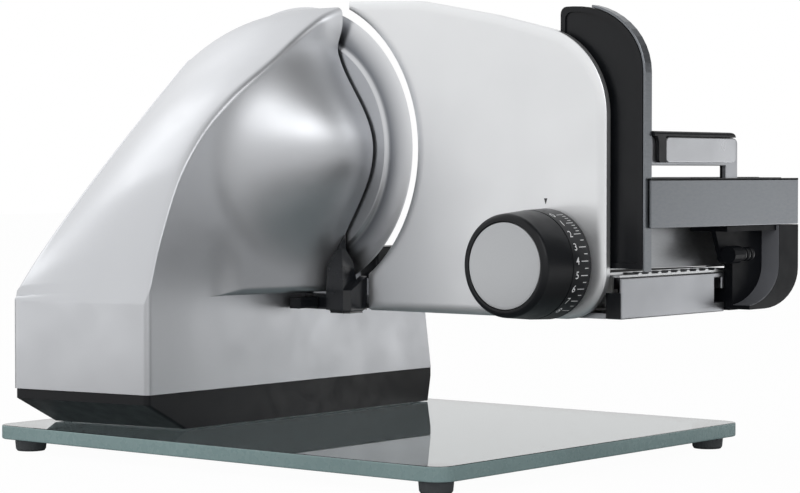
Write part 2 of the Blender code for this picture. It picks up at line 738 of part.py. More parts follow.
def build_deflector(finish):
    """A block under the blade with a leaf-shaped prow and a fin that reaches up beside the dome."""
    low = GLASS_TOP + PLATE_BOTTOM_RISE - DEFLECTOR_DROP
    left, right, front, back = DEFLECTOR_LEFT, DEFLECTOR_RIGHT, DEFLECTOR_FRONT, DEFLECTOR_BACK
    top = low + DEFLECTOR_BASE
    chamfer_x, chamfer_y = left + DEFLECTOR_CORNER_X, front + DEFLECTOR_CORNER_Y
    block = prism([(chamfer_x, front), (right, front), (right, back), (left, back), (left, chamfer_y)],
                  "Z", low, top)
    under = [edge for edge in block.edges if max(vert.co.z for vert in edge.verts) < low + SEAT]
    bmesh.ops.bevel(block, geom=under, offset=DEFLECTOR_ROUND, segments=3, affect="EDGES")
    deflector = set_piece("slice_deflector", block, finish["black"], smooth=20)
    sunk = top - DEFLECTOR_ROUND / 2
    rise = top + DEFLECTOR_WEDGE
    join(deflector, solid_of([(x, y, z) for y in (front, front + DEFLECTOR_WEDGE_DEPTH)
                              for x, z in ((chamfer_x, sunk), (right, sunk), (right, rise), (chamfer_x, top))]))
    end, peak = HOUSING_END, low + DEFLECTOR_PEAK
    width = end - left

    def leaf(across, up, y):
        return (left + width * across, y, low + DEFLECTOR_LEAF * up)

    points = [leaf(across, up, chamfer_y + DEFLECTOR_LEAN * up) for across, up in DEFLECTOR_ARCH]
    points += [leaf(0.1, 0.733, back), leaf(0.19, 0.935, (DEFLECTOR_PEAK_Y + back) / 2 - DEFLECTOR_LEAN),
               leaf(0.7, 0.8, back), (left, back, top), (left, chamfer_y, top), (left, back, sunk),
               (left, chamfer_y, sunk), (end, chamfer_y + DEFLECTOR_LEAN / 2, sunk), (left + width * 0.7, back, sunk)]
    join(deflector, solid_of(points))
    tip, rear = end - SEAT, back - SEAT
    points = [leaf(0.62, 0.92, rear), leaf(0.62, 0.7, rear), leaf(0.5, 0.93, DEFLECTOR_PEAK_Y),
              leaf(0.62, 0.7, DEFLECTOR_PEAK_Y), (tip, rear, low + DEFLECTOR_LEAF * 0.8),
              (tip, DEFLECTOR_PEAK_Y, low + DEFLECTOR_LEAF * 0.7), (tip, DEFLECTOR_PEAK_Y, peak),
              (tip - DEFLECTOR_LEAN / 3, rear, (top + DEFLECTOR_LEAF + peak) / 2 - DEFLECTOR_BASE / 2),
              (tip, rear, (top + DEFLECTOR_LEAF + peak) / 2 - DEFLECTOR_BASE / 2)]
    join(deflector, solid_of(points))
    join(deflector, box((DEFLECTOR_TAB_LEFT, end - SEAT), (back - DEFLECTOR_ROUND, WALL_Y - SEAT),
                        (low + DEFLECTOR_ROUND, low + DEFLECTOR_TAB_HEIGHT)))


def build_blade(finish):
    centre = (BLADE_Y, BLADE_Z)
    front = CUT_X - BLADE_DISH
    back = front - BLADE_THICK
    bore = SHAFT_RADIUS + SEAT
    step = BLADE_STEP_RADIUS
    hollow = back + BLADE_STEP
    rise = BLADE_RADIUS - step
    profile = [(back, bore), (back, step), (hollow, step + 0.0006)]
    for part in (0.3, 0.55, 0.8):
        profile.append((hollow + (CUT_X - hollow) * part ** 2.2, step + rise * part))
    profile += [(CUT_X, BLADE_RADIUS), (CUT_X - BLADE_DISH / 4, BLADE_RADIUS - BLADE_BEVEL),
                (front, step - BLADE_BEVEL), (front, bore)]
    set_piece("round_blade", lathe(profile, "X", centre, ROUND_FINE), finish["chrome"], (CUT_X, *centre))


def gear_outline(centre):
    """Straight teeth about a centre, with one tooth pointing to +Y."""
    outline = []
    pitch = 2 * pi / WHEEL_TEETH
    for tooth in range(WHEEL_TEETH):
        for turn, radius in ((-0.2, -TOOTH_IN), (-0.1, TOOTH_OUT), (0.1, TOOTH_OUT), (0.2, -TOOTH_IN)):
            angle = pitch * (tooth + turn)
            reach = WHEEL_RADIUS + radius
            outline.append((centre[0] + reach * cos(angle), centre[1] + reach * sin(angle)))
    return outline


def build_blade_drive(finish):
    centre = (BLADE_Y, BLADE_Z)
    pivot = (CUT_X, *centre)
    left, right = WHEEL_X - WHEEL_WIDTH / 2, WHEEL_X + WHEEL_WIDTH / 2
    wheel = set_piece("worm_wheel", prism(gear_outline(centre), "X", left, right), finish["white"], pivot)
    cut(wheel, rod("X", centre, left - WHEEL_WIDTH, right + WHEEL_WIDTH, SHAFT_RADIUS + SEAT, ROUND_MEDIUM))
    seat = CUT_X - BLADE_DISH - BLADE_THICK - SEAT
    nose = CUT_X - BLADE_DISH - SEAT
    hole = SCREW_RADIUS + SEAT
    depth = nose - SCREW_LENGTH - SCREW_RADIUS
    flange = HOUSING_END - HOUSING_WALL + RUNNING
    profile = [(SHAFT_LEFT, 0), (SHAFT_LEFT, SHAFT_RADIUS - 0.001), (SHAFT_LEFT + 0.001, SHAFT_RADIUS),
               (flange, SHAFT_RADIUS), (flange, SHAFT_FLANGE_RADIUS),
               (seat, SHAFT_FLANGE_RADIUS), (seat, SHAFT_RADIUS), (nose, SHAFT_RADIUS), (nose, hole),
               (depth, hole), (depth, 0)]
    set_piece("blade_shaft", lathe(profile, "X", centre, ROUND_MEDIUM), finish["steel"], pivot)
    head = CUT_X - BLADE_DISH + SEAT
    profile = [(head - SCREW_LENGTH, 0), (head - SCREW_LENGTH, SCREW_RADIUS), (head, SCREW_RADIUS),
               (head, SCREW_CAP_RADIUS), (head + SCREW_CAP_THICK * 0.6, SCREW_CAP_RADIUS),
               (head + SCREW_CAP_THICK, SCREW_CAP_RADIUS * 0.93), (head + SCREW_CAP_THICK, 0)]
    screw = set_piece("blade_screw", lathe(profile, "X", centre, ROUND_MEDIUM), finish["black"], pivot)
    slot = SCREW_CAP_RADIUS * 0.7
    cut(screw, box((head + SCREW_CAP_THICK * 0.4, head + 2 * SCREW_CAP_THICK),
                   (BLADE_Y - slot, BLADE_Y + slot), (BLADE_Z - SCREW_CAP_THICK, BLADE_Z + SCREW_CAP_THICK)))


def worm_thread():
    """One screw thread swept round the motor shaft, half a pitch out of step with the wheel's tooth."""
    shape = bmesh.new()
    root, tip = WORM_RADIUS - TOOTH_IN - 0.0006, WORM_RADIUS + TOOTH_OUT
    wide, narrow = WORM_LEAD * 0.2, WORM_LEAD * 0.1
    rings = []
    count = WORM_TURNS * WORM_STEPS
    for step in range(count + 1):
        turns = step / WORM_STEPS - WORM_TURNS / 2
        angle = 2 * pi * turns - pi / 2
        z = BLADE_Z + WORM_LEAD * (turns + 0.5)
        corners = ((root, z - wide), (tip, z - narrow), (tip, z + narrow), (root, z + wide))
        rings.append([shape.verts.new((WHEEL_X + radius * cos(angle), WORM_Y + radius * sin(angle), height))
                      for radius, height in corners])
    for ring, after in zip(rings, rings[1:]):
        for index in range(4):
            around = (index + 1) % 4
            shape.faces.new((ring[index], ring[around], after[around], after[index]))
    shape.faces.new(rings[0][::-1])
    shape.faces.new(rings[-1])
    return shape


def build_motor(finish):
    centre = (WHEEL_X, WORM_Y)
    floor = GLASS_TOP + SEAT + BOTTOM_THICK + SEAT
    top = floor + MOTOR_HEIGHT
    hole = MOTOR_SHAFT_RADIUS + RUNNING
    inner = MOTOR_RADIUS - MOTOR_WALL
    profile = [(floor, 0), (floor, MOTOR_RADIUS), (top, MOTOR_RADIUS), (top, inner),
               (floor + 2 * MOTOR_WALL, inner), (floor + 2 * MOTOR_WALL, hole), (floor + MOTOR_WALL, hole),
               (floor + MOTOR_WALL, 0)]
    set_piece("motor_can", lathe(profile, "Z", centre, ROUND_MEDIUM), finish["steel"])
    low = top + SEAT
    set_piece("motor_end_cap", tube("Z", centre, low, low + MOTOR_CAP, MOTOR_RADIUS, hole), finish["black"])
    pivot = (*centre, BLADE_Z)
    arm_top = BLADE_Z + CASE_ARM_RISE + CASE_ARM_HEIGHT
    foot = floor + MOTOR_WALL + SEAT
    core = WORM_RADIUS - TOOTH_IN
    half = WORM_LEAD * (WORM_TURNS / 2 + 0.7)
    middle = BLADE_Z + WORM_LEAD / 2
    profile = [(foot, 0), (foot, MOTOR_SHAFT_RADIUS), (middle - half, MOTOR_SHAFT_RADIUS), (middle - half, core),
               (middle + half, core), (middle + half, MOTOR_SHAFT_RADIUS), (arm_top, MOTOR_SHAFT_RADIUS),
               (arm_top, 0)]
    worm = set_piece("worm_shaft", lathe(profile, "Z", centre, ROUND_SMALL), finish["steel"], pivot)
    join(worm, worm_thread())
    grip = MOTOR_SHAFT_RADIUS + SEAT
    low = floor + ARMATURE_LIFT
    set_piece("motor_armature", tube("Z", centre, low, low + ARMATURE_HEIGHT, ARMATURE_RADIUS, grip),
              finish["steel"], pivot)
    build_fan(finish, centre, low + ARMATURE_HEIGHT + FAN_HEIGHT / 2, pivot)


def build_fan(finish, centre, low, pivot):
    hub = MOTOR_SHAFT_RADIUS * 2
    fan = set_piece("cooling_fan", rod("Z", centre, low, low + FAN_HEIGHT, hub), finish["black"], pivot)
    for index in range(FAN_BLADES):
        vane = box((hub * 0.7, FAN_RADIUS), (-0.0007, 0.0007), (low + 0.0005, low + FAN_HEIGHT - 0.0005))
        turn = Matrix.Translation((*centre, 0)) @ Matrix.Rotation(2 * pi * index / FAN_BLADES, 4, "Z")
        bmesh.ops.transform(vane, matrix=turn, verts=vane.verts)
        join(fan, vane)
    cut(fan, rod("Z", centre, low - FAN_HEIGHT, low + 2 * FAN_HEIGHT, MOTOR_SHAFT_RADIUS + SEAT))


def build_gear_case(finish):
    centre = (BLADE_Y, BLADE_Z)
    right = HOUSING_END - HOUSING_WALL - SEAT
    left = right - CASE_PLATE
    bore = SHAFT_RADIUS + RUNNING
    bush = bore + BUSH_WALL
    hub = bush + SEAT + CASE_HUB_WALL
    case = set_piece("gear_case", rod("X", centre, left, right, CASE_RADIUS, ROUND_MEDIUM), finish["black"])
    join(case, rod("X", centre, right - CASE_HUB_LENGTH, left + CASE_PLATE / 2, hub, ROUND_MEDIUM))
    low = BLADE_Z + CASE_ARM_RISE
    join(case, box((WHEEL_X - CASE_ARM_HALF, left + CASE_PLATE / 2), (WORM_Y - CASE_ARM_HALF, WORM_Y + CASE_ARM_HALF),
                   (low + CASE_ARM_HEIGHT * 0.15, low + CASE_ARM_HEIGHT)))
    cut(case, rod("Z", (WHEEL_X, WORM_Y), low - CASE_ARM_HEIGHT, low + 2 * CASE_ARM_HEIGHT,
                  MOTOR_SHAFT_RADIUS + RUNNING))
    cut(case, rod("X", centre, right - 2 * CASE_HUB_LENGTH, CUT_X, bush + SEAT, ROUND_MEDIUM))
    set_piece("bearing_bush", tube("X", centre, right - CASE_HUB_LENGTH, right, bush, bore), finish["brass"])


def rail_outline():
    """The rail's section: open to the left for the guide rods, slotted on the right for the carriage."""
    low, high = RAIL_BOTTOM, RAIL_TOP
    floor, roof = low + RAIL_FLANGE, high - RAIL_FLANGE
    web, wall = RAIL_WEB_X, RAIL_WEB_X + RAIL_FLANGE
    return [(RAIL_CAP_LEFT, low), (RAIL_RIGHT - SEAT, low), (RAIL_RIGHT - SEAT, low + RAIL_FOOT),
            (RAIL_RIGHT - 2 * RAIL_FOOT, low + RAIL_FOOT), (RAIL_RIGHT - 2 * RAIL_FOOT, floor), (wall, floor),
            (wall, roof), (RAIL_RIGHT - RAIL_FLANGE, roof), (RAIL_RIGHT - RAIL_FLANGE, high - RAIL_LIP),
            (RAIL_RIGHT - SEAT, high - RAIL_LIP), (RAIL_RIGHT - SEAT, high), (RAIL_LEFT, high),
            (RAIL_LEFT, roof), (web, roof), (web, floor), (RAIL_CAP_LEFT, floor)]


def build_rail(finish):
    front = RAIL_CAP_FRONT + RAIL_CAP_DEPTH + SEAT
    rail = set_piece("guide_rail", prism(rail_outline(), "Y", front, RAIL_REAR), finish["aluminium"])
    for place in (RAIL_SCREW_FRONT, RAIL_SCREW_REAR):
        hole = rod("Z", (RAIL_SCREW_X, place), RAIL_BOTTOM - RAIL_FLANGE, RAIL_BOTTOM + 2 * RAIL_FLANGE,
                   SCREW_RADIUS + SEAT)
        cut(rail, hole)
    low, high = RAIL_BOTTOM, RAIL_TOP
    notch = high - RAIL_CAP_NOTCH
    foot = low + RAIL_FOOT
    outline = [(RAIL_CAP_LEFT, low), (RAIL_RIGHT, low), (RAIL_RIGHT, foot), (RAIL_CAP_RIGHT, foot),
               (RAIL_CAP_RIGHT, high - RAIL_FLANGE), (RAIL_RIGHT - RAIL_FLANGE, high - RAIL_FLANGE),
               (RAIL_RIGHT - RAIL_FLANGE, high - RAIL_LIP), (RAIL_RIGHT, high - RAIL_LIP), (RAIL_RIGHT, high),
               (RAIL_LEFT + GLIDE_HOOK, high), (RAIL_LEFT + GLIDE_HOOK, notch), (RAIL_CAP_LEFT, notch)]
    cap = set_piece("rail_end_cap", prism(outline, "Y", RAIL_CAP_FRONT, RAIL_CAP_FRONT + RAIL_CAP_DEPTH),
                    finish["aluminium"])
    join(cap, box((RAIL_CAP_LEFT, RAIL_LEFT + 2 * GLIDE_HOOK), (RAIL_CAP_FRONT, RAIL_CAP_FRONT + RAIL_CAP_PLATE),
                  (low, high)))
    soften(cap, 0.0008, 2, 60)
    top = RAIL_BOTTOM + RAIL_FLANGE + SEAT
    for side, place in (("front", RAIL_SCREW_FRONT), ("rear", RAIL_SCREW_REAR)):
        profile = [(top - SCREW_LENGTH, 0), (top - SCREW_LENGTH, SCREW_RADIUS), (top, SCREW_RADIUS),
                   (top, SCREW_HEAD_RADIUS), (top + SCREW_HEAD, SCREW_HEAD_RADIUS * 0.8), (top + SCREW_HEAD, 0)]
        set_piece("rail_screw_" + side, lathe(profile, "Z", (RAIL_SCREW_X, place), ROUND_SMALL), finish["steel"])


def build_rod_guides(finish):
    rod_z = GLASS_TOP + GUIDE_ROD_RISE
    pin_z = KNOB_Z - CAM_PIN_DROP
    low = RAIL_BOTTOM + RAIL_FLANGE + SEAT
    high = max(rod_z + GUIDE_ROD_RADIUS, pin_z + CAM_PIN_RADIUS) + ROD_GUIDE_COVER
    spans = {"front": (GUIDE_ROD_FRONT - ROD_GUIDE_HALF, KNOB_Y + ROD_GUIDE_HALF, GUIDE_ROD_FRONT),
             "rear": (GUIDE_ROD_REAR - ROD_GUIDE_HALF, GUIDE_ROD_REAR + ROD_GUIDE_HALF, GUIDE_ROD_REAR)}
    for side, (near, far, place) in spans.items():
        guide = set_piece("rod_guide_" + side, box((ROD_GUIDE_LEFT, ROD_GUIDE_RIGHT), (near, far), (low, high)),
                          finish["white"])
        cut(guide, rod("X", (place, rod_z), ROD_GUIDE_LEFT - ROD_GUIDE_HALF, ROD_GUIDE_RIGHT + ROD_GUIDE_HALF,
                       GUIDE_ROD_RADIUS + RUNNING))
        if side == "front":
            cut(guide, rod("X", (KNOB_Y, pin_z), ROD_GUIDE_LEFT - ROD_GUIDE_HALF,
                           ROD_GUIDE_LEFT + ROD_GUIDE_HALF, CAM_PIN_RADIUS + SEAT))
    tip = PLATE_OUTER - CAM_PIN_REACH
    set_piece("cam_pin", rod("X", (KNOB_Y, pin_z), tip, ROD_GUIDE_LEFT + ROD_GUIDE_HALF - SEAT, CAM_PIN_RADIUS),
              finish["steel"])


def plate_outline(shrink):
    """The stop plate's outline seen from the side, from its top back corner round to its blade cut."""
    low = GLASS_TOP + PLATE_BOTTOM_RISE + shrink
    top = GLASS_TOP + PLATE_TOP_RISE - shrink
    shoulder = GLASS_TOP + PLATE_SHOULDER_RISE - shrink
    front, back_top, back_bottom = PLATE_FRONT + shrink, PLATE_BACK_TOP - shrink, PLATE_BACK_BOTTOM - shrink
    radius = BLADE_RADIUS + PLATE_BLADE_GAP + shrink
    corners = [(back_top, top), (PLATE_CREST_Y, top - PLATE_CREST_DROP), (PLATE_SHOULDER_Y, shoulder),
               (front, GLASS_TOP + PLATE_FRONT_TOP_RISE - shrink), (front, low), (back_bottom, low)]
    radii = [0, PLATE_TOP_ROUND * 1.5, PLATE_TOP_ROUND * 2, PLATE_TOP_ROUND - shrink,
             PLATE_FOOT_ROUND - shrink, PLATE_ROUND * 1.2 - shrink]
    outline = rounded(corners, radii, 7)
    start = acos((BLADE_Y - back_bottom) / radius)
    stop = acos((BLADE_Y - back_top) / radius)
    steps = 22
    for step in range(steps + 1):
        angle = pi + start - (start + stop) * step / steps
        outline.append((BLADE_Y + radius * cos(angle), BLADE_Z + radius * sin(angle)))
    return outline


def plate_form():
    """The plate with a rounded rim on its outer face and a small one on its food face."""
    sections = []
    for step in range(PLATE_ROUND_STEPS + 1):
        angle = pi / 2 * step / PLATE_ROUND_STEPS
        outline = plate_outline(PLATE_ROUND * (1 - sin(angle)))
        x = PLATE_OUTER + PLATE_ROUND * (1 - cos(angle))
        sections.append([Vector((x, y, z)) for y, z in outline])
    for shrink, x in ((0, PLATE_FACE - PLATE_EDGE), (PLATE_EDGE, PLATE_FACE)):
        sections.append([Vector((x, y, z)) for y, z in plate_outline(shrink)])
    return loft(sections)


def build_stop_plate(finish):
    plate = set_piece("stop_plate", plate_form(), finish["plate"])
    knob = (KNOB_Y, KNOB_Z)
    join(plate, rod("X", knob, PLATE_OUTER - KNOB_BOSS_LENGTH, PLATE_OUTER + PLATE_THICK / 2, KNOB_BOSS_RADIUS,
                    ROUND_MEDIUM))
    cut(plate, rod("X", knob, PLATE_OUTER - 2 * KNOB_BOSS_LENGTH, PLATE_OUTER - KNOB_BOSS_LENGTH + SCREW_LENGTH,
                   SCREW_RADIUS + SEAT))
    cut(plate, rod("X", (KNOB_Y, KNOB_Z - CAM_PIN_DROP), PLATE_OUTER - PLATE_THICK, PLATE_FACE + PLATE_THICK,
                   CAM_PIN_RADIUS + RUNNING))
    rod_z = GLASS_TOP + GUIDE_ROD_RISE
    for side, place in (("front", GUIDE_ROD_FRONT), ("rear", GUIDE_ROD_REAR)):
        start = PLATE_FACE - GUIDE_ROD_SEAT
        cut(plate, rod("X", (place, rod_z), start - SEAT, PLATE_FACE + PLATE_THICK, GUIDE_ROD_RADIUS + SEAT))
        set_piece("guide_rod_" + side, rod("X", (place, rod_z), start, GUIDE_ROD_END, GUIDE_ROD_RADIUS),
                  finish["steel"])


def build_knob(finish):
    centre = (KNOB_Y, KNOB_Z)
    base = PLATE_OUTER - SEAT
    pivot = (base, *centre)
    dial_end = base - DIAL_WIDTH
    grip_start = dial_end - GROOVE_WIDTH
    front = base - KNOB_LENGTH
    cup_floor = PLATE_OUTER - KNOB_BOSS_LENGTH - SEAT
    cup = GRIP_FRONT_RADIUS - KNOB_WALL
    sleeve = KNOB_BOSS_RADIUS + RUNNING
    seat_floor = front + CAP_THICK + SEAT
    hole = SCREW_HEAD_RADIUS + SEAT
    profile = [(seat_floor, hole), (seat_floor, CAP_RADIUS + SEAT), (front, CAP_RADIUS + SEAT)]
    for step in range(4):
        angle = pi / 2 * step / 3
        profile.append((front + KNOB_ROUND * (1 - cos(angle)), GRIP_FRONT_RADIUS - KNOB_ROUND * (1 - sin(angle))))
    profile += [(grip_start, GRIP_RADIUS), (grip_start, GRIP_RADIUS - GROOVE_DEPTH),
                (dial_end, GRIP_RADIUS - GROOVE_DEPTH), (dial_end, DIAL_RADIUS - DIAL_TAPER),
                (base, DIAL_RADIUS), (base, cup), (cup_floor, cup), (cup_floor, sleeve + KNOB_SLEEVE_WALL),
                (cup_floor + KNOB_BOSS_LENGTH / 2, sleeve + KNOB_SLEEVE_WALL),
                (cup_floor + KNOB_BOSS_LENGTH / 2, sleeve), (cup_floor, sleeve), (cup_floor, hole)]
    set_piece("knob_grip", lathe(profile, "X", centre, ROUND_FINE), finish["black"], pivot)
    profile = [(seat_floor - SEAT, 0), (seat_floor - SEAT, CAP_RADIUS), (front + CAP_THICK / 4, CAP_RADIUS),
               (front + CAP_THICK / 10, CAP_RADIUS - 0.0006), (front, 0)]
    set_piece("knob_cap", lathe(profile, "X", centre, ROUND_FINE), finish["aluminium"], pivot)
    head = PLATE_OUTER - KNOB_BOSS_LENGTH - SEAT
    profile = [(head + SCREW_LENGTH - SEAT, 0), (head + SCREW_LENGTH - SEAT, SCREW_RADIUS), (head, SCREW_RADIUS),
               (head, SCREW_HEAD_RADIUS - SEAT), (head - SCREW_HEAD, SCREW_HEAD_RADIUS - SEAT),
               (head - SCREW_HEAD, 0)]
    set_piece("knob_screw", lathe(profile, "X", centre, ROUND_SMALL), finish["steel"])


def tray_outline():
    """The tray's section: a flat sheet with low pressed ribs along the travel."""
    outline = [(TRAY_LEFT, TRAY_BOTTOM), (TRAY_RIGHT, TRAY_BOTTOM), (TRAY_RIGHT, TRAY_TOP)]
    ribs = int((TRAY_RIGHT - TRAY_LEFT - 2 * TRAY_MARGIN) / TRAY_RIB_PITCH)
    first = TRAY_RIGHT - TRAY_MARGIN - TRAY_RIB_PITCH / 2
    half = TRAY_RIB_WIDTH / 2
    for index in range(ribs):
        x = first - index * TRAY_RIB_PITCH
        outline += [(x + half, TRAY_TOP), (x + half / 2, TRAY_TOP + TRAY_RIB), (x - half / 2, TRAY_TOP + TRAY_RIB),
                    (x - half, TRAY_TOP)]
    outline.append((TRAY_LEFT, TRAY_TOP))
    return outline


def build_tray(finish):
    rear = TRAY_FRONT + TRAY_DEPTH
    set_piece("carriage_tray", prism(tray_outline(), "Y", TRAY_FRONT, rear), finish["steel"])
    lip = set_piece("tray_end_lip", box((TRAY_LEFT, TRAY_RIGHT), (rear + SEAT, rear + SEAT + LIP_THICK),
                                        (TRAY_BOTTOM, TRAY_TOP + LIP_HEIGHT)), finish["black"])
    join(lip, box((TRAY_LEFT, GLIDE_LEFT - LIP_CLEAR), (rear + SEAT, rear + SEAT + LIP_THICK),
                  (RAIL_TOP - LIP_DROP, TRAY_TOP + LIP_HEIGHT / 2)))
    soften(lip, 0.0012, 2)
    wall_low = TRAY_TOP + FOOD_WALL_GAP
    wall_top = GLASS_TOP + WEB_TOP_RISE
    foot = TRAY_TOP + TRAY_RIB + SEAT
    strip_top = wall_low - WALL_STRIP_DROP
    outline = rounded([(FOOD_WALL_LEFT, wall_low), (WALL_STRIP_RIGHT, strip_top), (WALL_STRIP_RIGHT, foot),
                       (CARRIAGE_RIGHT - SEAT, foot), (CARRIAGE_RIGHT - SEAT, wall_top), (FOOD_WALL_LEFT, wall_top)],
                      [0, 0, 0, TRAY_RIB, TRAY_RIB, TRAY_RIB], 3)
    set_piece("food_wall", prism(outline, "Y", FOOD_WALL_Y, FOOD_WALL_Y + FOOD_WALL_THICK), finish["steel"])
    outline = [(FOOD_WALL_LEFT, foot), (WALL_STRIP_RIGHT - SEAT, foot), (WALL_STRIP_RIGHT - SEAT, strip_top - SEAT),
               (FOOD_WALL_LEFT, wall_low - SEAT)]
    set_piece("wall_strip", prism(outline, "Y", FOOD_WALL_Y, FOOD_WALL_Y + FOOD_WALL_THICK), finish["black"])
    build_band(finish)


def build_band(finish):
    low, high = GLASS_TOP + BAND_BOTTOM_RISE, GLASS_TOP + BAND_TOP_RISE
    left = PUSHER_LEFT + BAND_OVERLAP
    outline = rounded([(left, low), (CARRIAGE_RIGHT, low), (CARRIAGE_RIGHT, high), (left, high)],
                      [0.0006, 0.0006, 0.0015, 0.0006], 3)
    band = set_piece("front_band", prism(outline, "Y", BAND_FRONT, BAND_FRONT + BAND_THICK), finish["aluminium"])
    soften(band, 0.0004, 2, 60)


def hoop_outline(shift_x, shift_z, left, top):
    """The hand guard's side view: straight down on the right, then an elliptic corner to the bottom."""
    low = GLASS_TOP + HOOP_BOTTOM_RISE + shift_z
    right = CARRIAGE_RIGHT - shift_x
    corner = ellipse_corner((right - HOOP_CURVE_X, low + HOOP_CURVE_Z), HOOP_CURVE_X, HOOP_CURVE_Z, 0, -90, 10)
    return [(left, top), (right, top)] + corner + [(left, low)]


def build_frame(finish):
    """The black carriage frame: hand guard, panel, sliding shoe and its tongue in the rail's slot."""
    top = GLASS_TOP + WEB_TOP_RISE - SEAT
    band_low = GLASS_TOP + BAND_BOTTOM_RISE - SEAT
    inner = BAND_FRONT + POCKET_DEPTH
    panel_back = TRAY_FRONT - SEAT
    wall_side = FOOD_WALL_Y - SEAT
    right = CARRIAGE_RIGHT - SEAT
    frame = set_piece("carriage_frame", prism(hoop_outline(0, 0, SHOE_LEFT, band_low), "Y", BAND_FRONT, panel_back),
                      finish["black"], smooth=25)
    pocket = hoop_outline(HOOP_WIDTH, HOOP_FLOOR, SHOE_LEFT - HOOP_WIDTH, top)
    cut(frame, prism(pocket, "Y", BAND_FRONT - POCKET_DEPTH, inner))
    join(frame, box((SHELF_LEFT, right), (inner, wall_side), (band_low - SHELF_THICK, top)))
    join(frame, box((SHELF_LEFT, right), (BAND_FRONT + BAND_THICK + SEAT, inner + HOOP_FLOOR),
                    (band_low - SHELF_THICK, band_low)))
    join(frame, box((SHOE_LEFT, SHOE_LEFT + SHOE_THICK), (inner + HOOP_FLOOR, TRAY_FRONT + SHOE_DEPTH),
                    (RAIL_BOTTOM + SLIDING, TRAY_BOTTOM - SEAT)))
    middle = (RAIL_BOTTOM + RAIL_FOOT + RAIL_TOP - RAIL_LIP) / 2
    join(frame, box((SHOE_LEFT - TONGUE_REACH, SHOE_LEFT + SHOE_THICK / 2),
                    (FOOD_WALL_Y, TRAY_FRONT + SHOE_DEPTH - TRAY_MARGIN),
                    (middle - TONGUE_THICK / 2, middle + TONGUE_THICK / 2)))
    build_arm(frame, band_low - SHELF_THICK / 2)


def build_arm(frame, top):
    """A flat arm that hangs from the shelf and narrows to a round boss for the lock roller."""
    z = GLASS_TOP + LOCK_RISE
    tip = ellipse_corner((LOCK_X, z), LOCK_BOSS_RADIUS, LOCK_BOSS_RADIUS, 180, 360, 8)
    outline = [(ARM_LEFT, top)] + tip + [(ARM_RIGHT, top)]
    near = LOCK_Y + LOCK_RADIUS + SLIDING
    join(frame, prism(outline, "Y", near, near + ARM_THICK))
    left, right = LOCK_X - LOCK_BOSS_RADIUS, LOCK_X + LOCK_BOSS_RADIUS
    join(frame, rod("X", (LOCK_Y, z), left, right, LOCK_BOSS_RADIUS * 0.98))
    cut(frame, rod("X", (LOCK_Y, z), LOCK_X - LOCK_AXLE, right + LOCK_RADIUS, LOCK_AXLE + RUNNING))


def build_lock(finish):
    """The lock roller turns on its axle in the arm's boss."""
    z = GLASS_TOP + LOCK_RISE
    left, right = LOCK_X + LOCK_BOSS_RADIUS + SLIDING, LOCK_X + LOCK_LENGTH
    soft = LOCK_RADIUS * 0.25
    profile = [(LOCK_X, 0), (LOCK_X, LOCK_AXLE), (left, LOCK_AXLE), (left, LOCK_RADIUS - soft),
               (left + soft, LOCK_RADIUS), (right - soft, LOCK_RADIUS), (right, LOCK_RADIUS - soft), (right, 0)]
    set_piece("lock_roller", lathe(profile, "X", (LOCK_Y, z), ROUND_SMALL), finish["black"], (left, LOCK_Y, z))


def build_glides(finish):
    """White clips under the tray that hook round the rail's left edge."""
    low = RAIL_TOP - GLIDE_DROP
    high = TRAY_BOTTOM - SEAT
    toe = low + GLIDE_TOE
    right = GLIDE_LEFT + GLIDE_WALL
    outline = [(GLIDE_LEFT, low), (GLIDE_LEFT + GLIDE_HOOK, low), (GLIDE_LEFT + GLIDE_HOOK, toe),
               (right, toe), (right, high), (GLIDE_LEFT, high)]
    rear = TRAY_FRONT + TRAY_DEPTH - GLIDE_LENGTH - TRAY_MARGIN
    for side, place in (("front", TRAY_FRONT + GLIDE_START), ("rear", rear)):
        set_piece("glide_" + side, prism(outline, "Y", place, place + GLIDE_LENGTH), finish["white"])


def pusher_outline(shrink):
    """The pusher plate seen from the side, with its large curve at the top front."""
    low = GLASS_TOP + PUSHER_BOTTOM_RISE + shrink
    top = GLASS_TOP + PUSHER_TOP_RISE - shrink
    front, back = PUSHER_FRONT + shrink, PUSHER_BACK - shrink
    half_y, half_z = PUSHER_CURVE_Y - shrink, PUSHER_CURVE_Z - shrink
    curve = ellipse_corner((front + half_y, top - half_z), half_y, half_z, 180, 90, 12)
    corner = ellipse_corner((back - PUSHER_CORNER, top - PUSHER_CORNER), PUSHER_CORNER, PUSHER_CORNER, 90, 0, 4)
    return [(front, low)] + curve + corner + [(back, low)]


def build_pusher_plate(finish):
    body = pusher_outline(EDGE_THICK + SEAT)
    plate = set_piece("pusher_plate", prism(body, "X", PUSHER_LEFT, PUSHER_RIGHT), finish["black"])
    panel = pusher_outline(EDGE_THICK + SEAT + PUSHER_PANEL_RIM)
    cut(plate, prism(panel, "X", PUSHER_LEFT - PUSHER_PANEL_SINK, PUSHER_LEFT + PUSHER_PANEL_SINK))
    wall_top = GLASS_TOP + WEB_TOP_RISE + SLIDING
    low = GLASS_TOP + PUSHER_BOTTOM_RISE
    cut(plate, box((PUSHER_LEFT - PUSHER_THICK, PUSHER_RIGHT + PUSHER_THICK),
                   (FOOD_WALL_Y - SLIDING, FOOD_WALL_Y + FOOD_WALL_THICK + SLIDING),
                   (low - PUSHER_THICK, wall_top)))
    outer = [point for point in pusher_outline(0) if point[0] < EDGE_END_Y]
    inner = [point for point in pusher_outline(EDGE_THICK) if point[0] < EDGE_END_Y]
    strip = set_piece("pusher_edge", prism(outer + inner[::-1], "X", PUSHER_LEFT, PUSHER_RIGHT), finish["aluminium"])
    soften(strip, 0.0003, 1, 60)


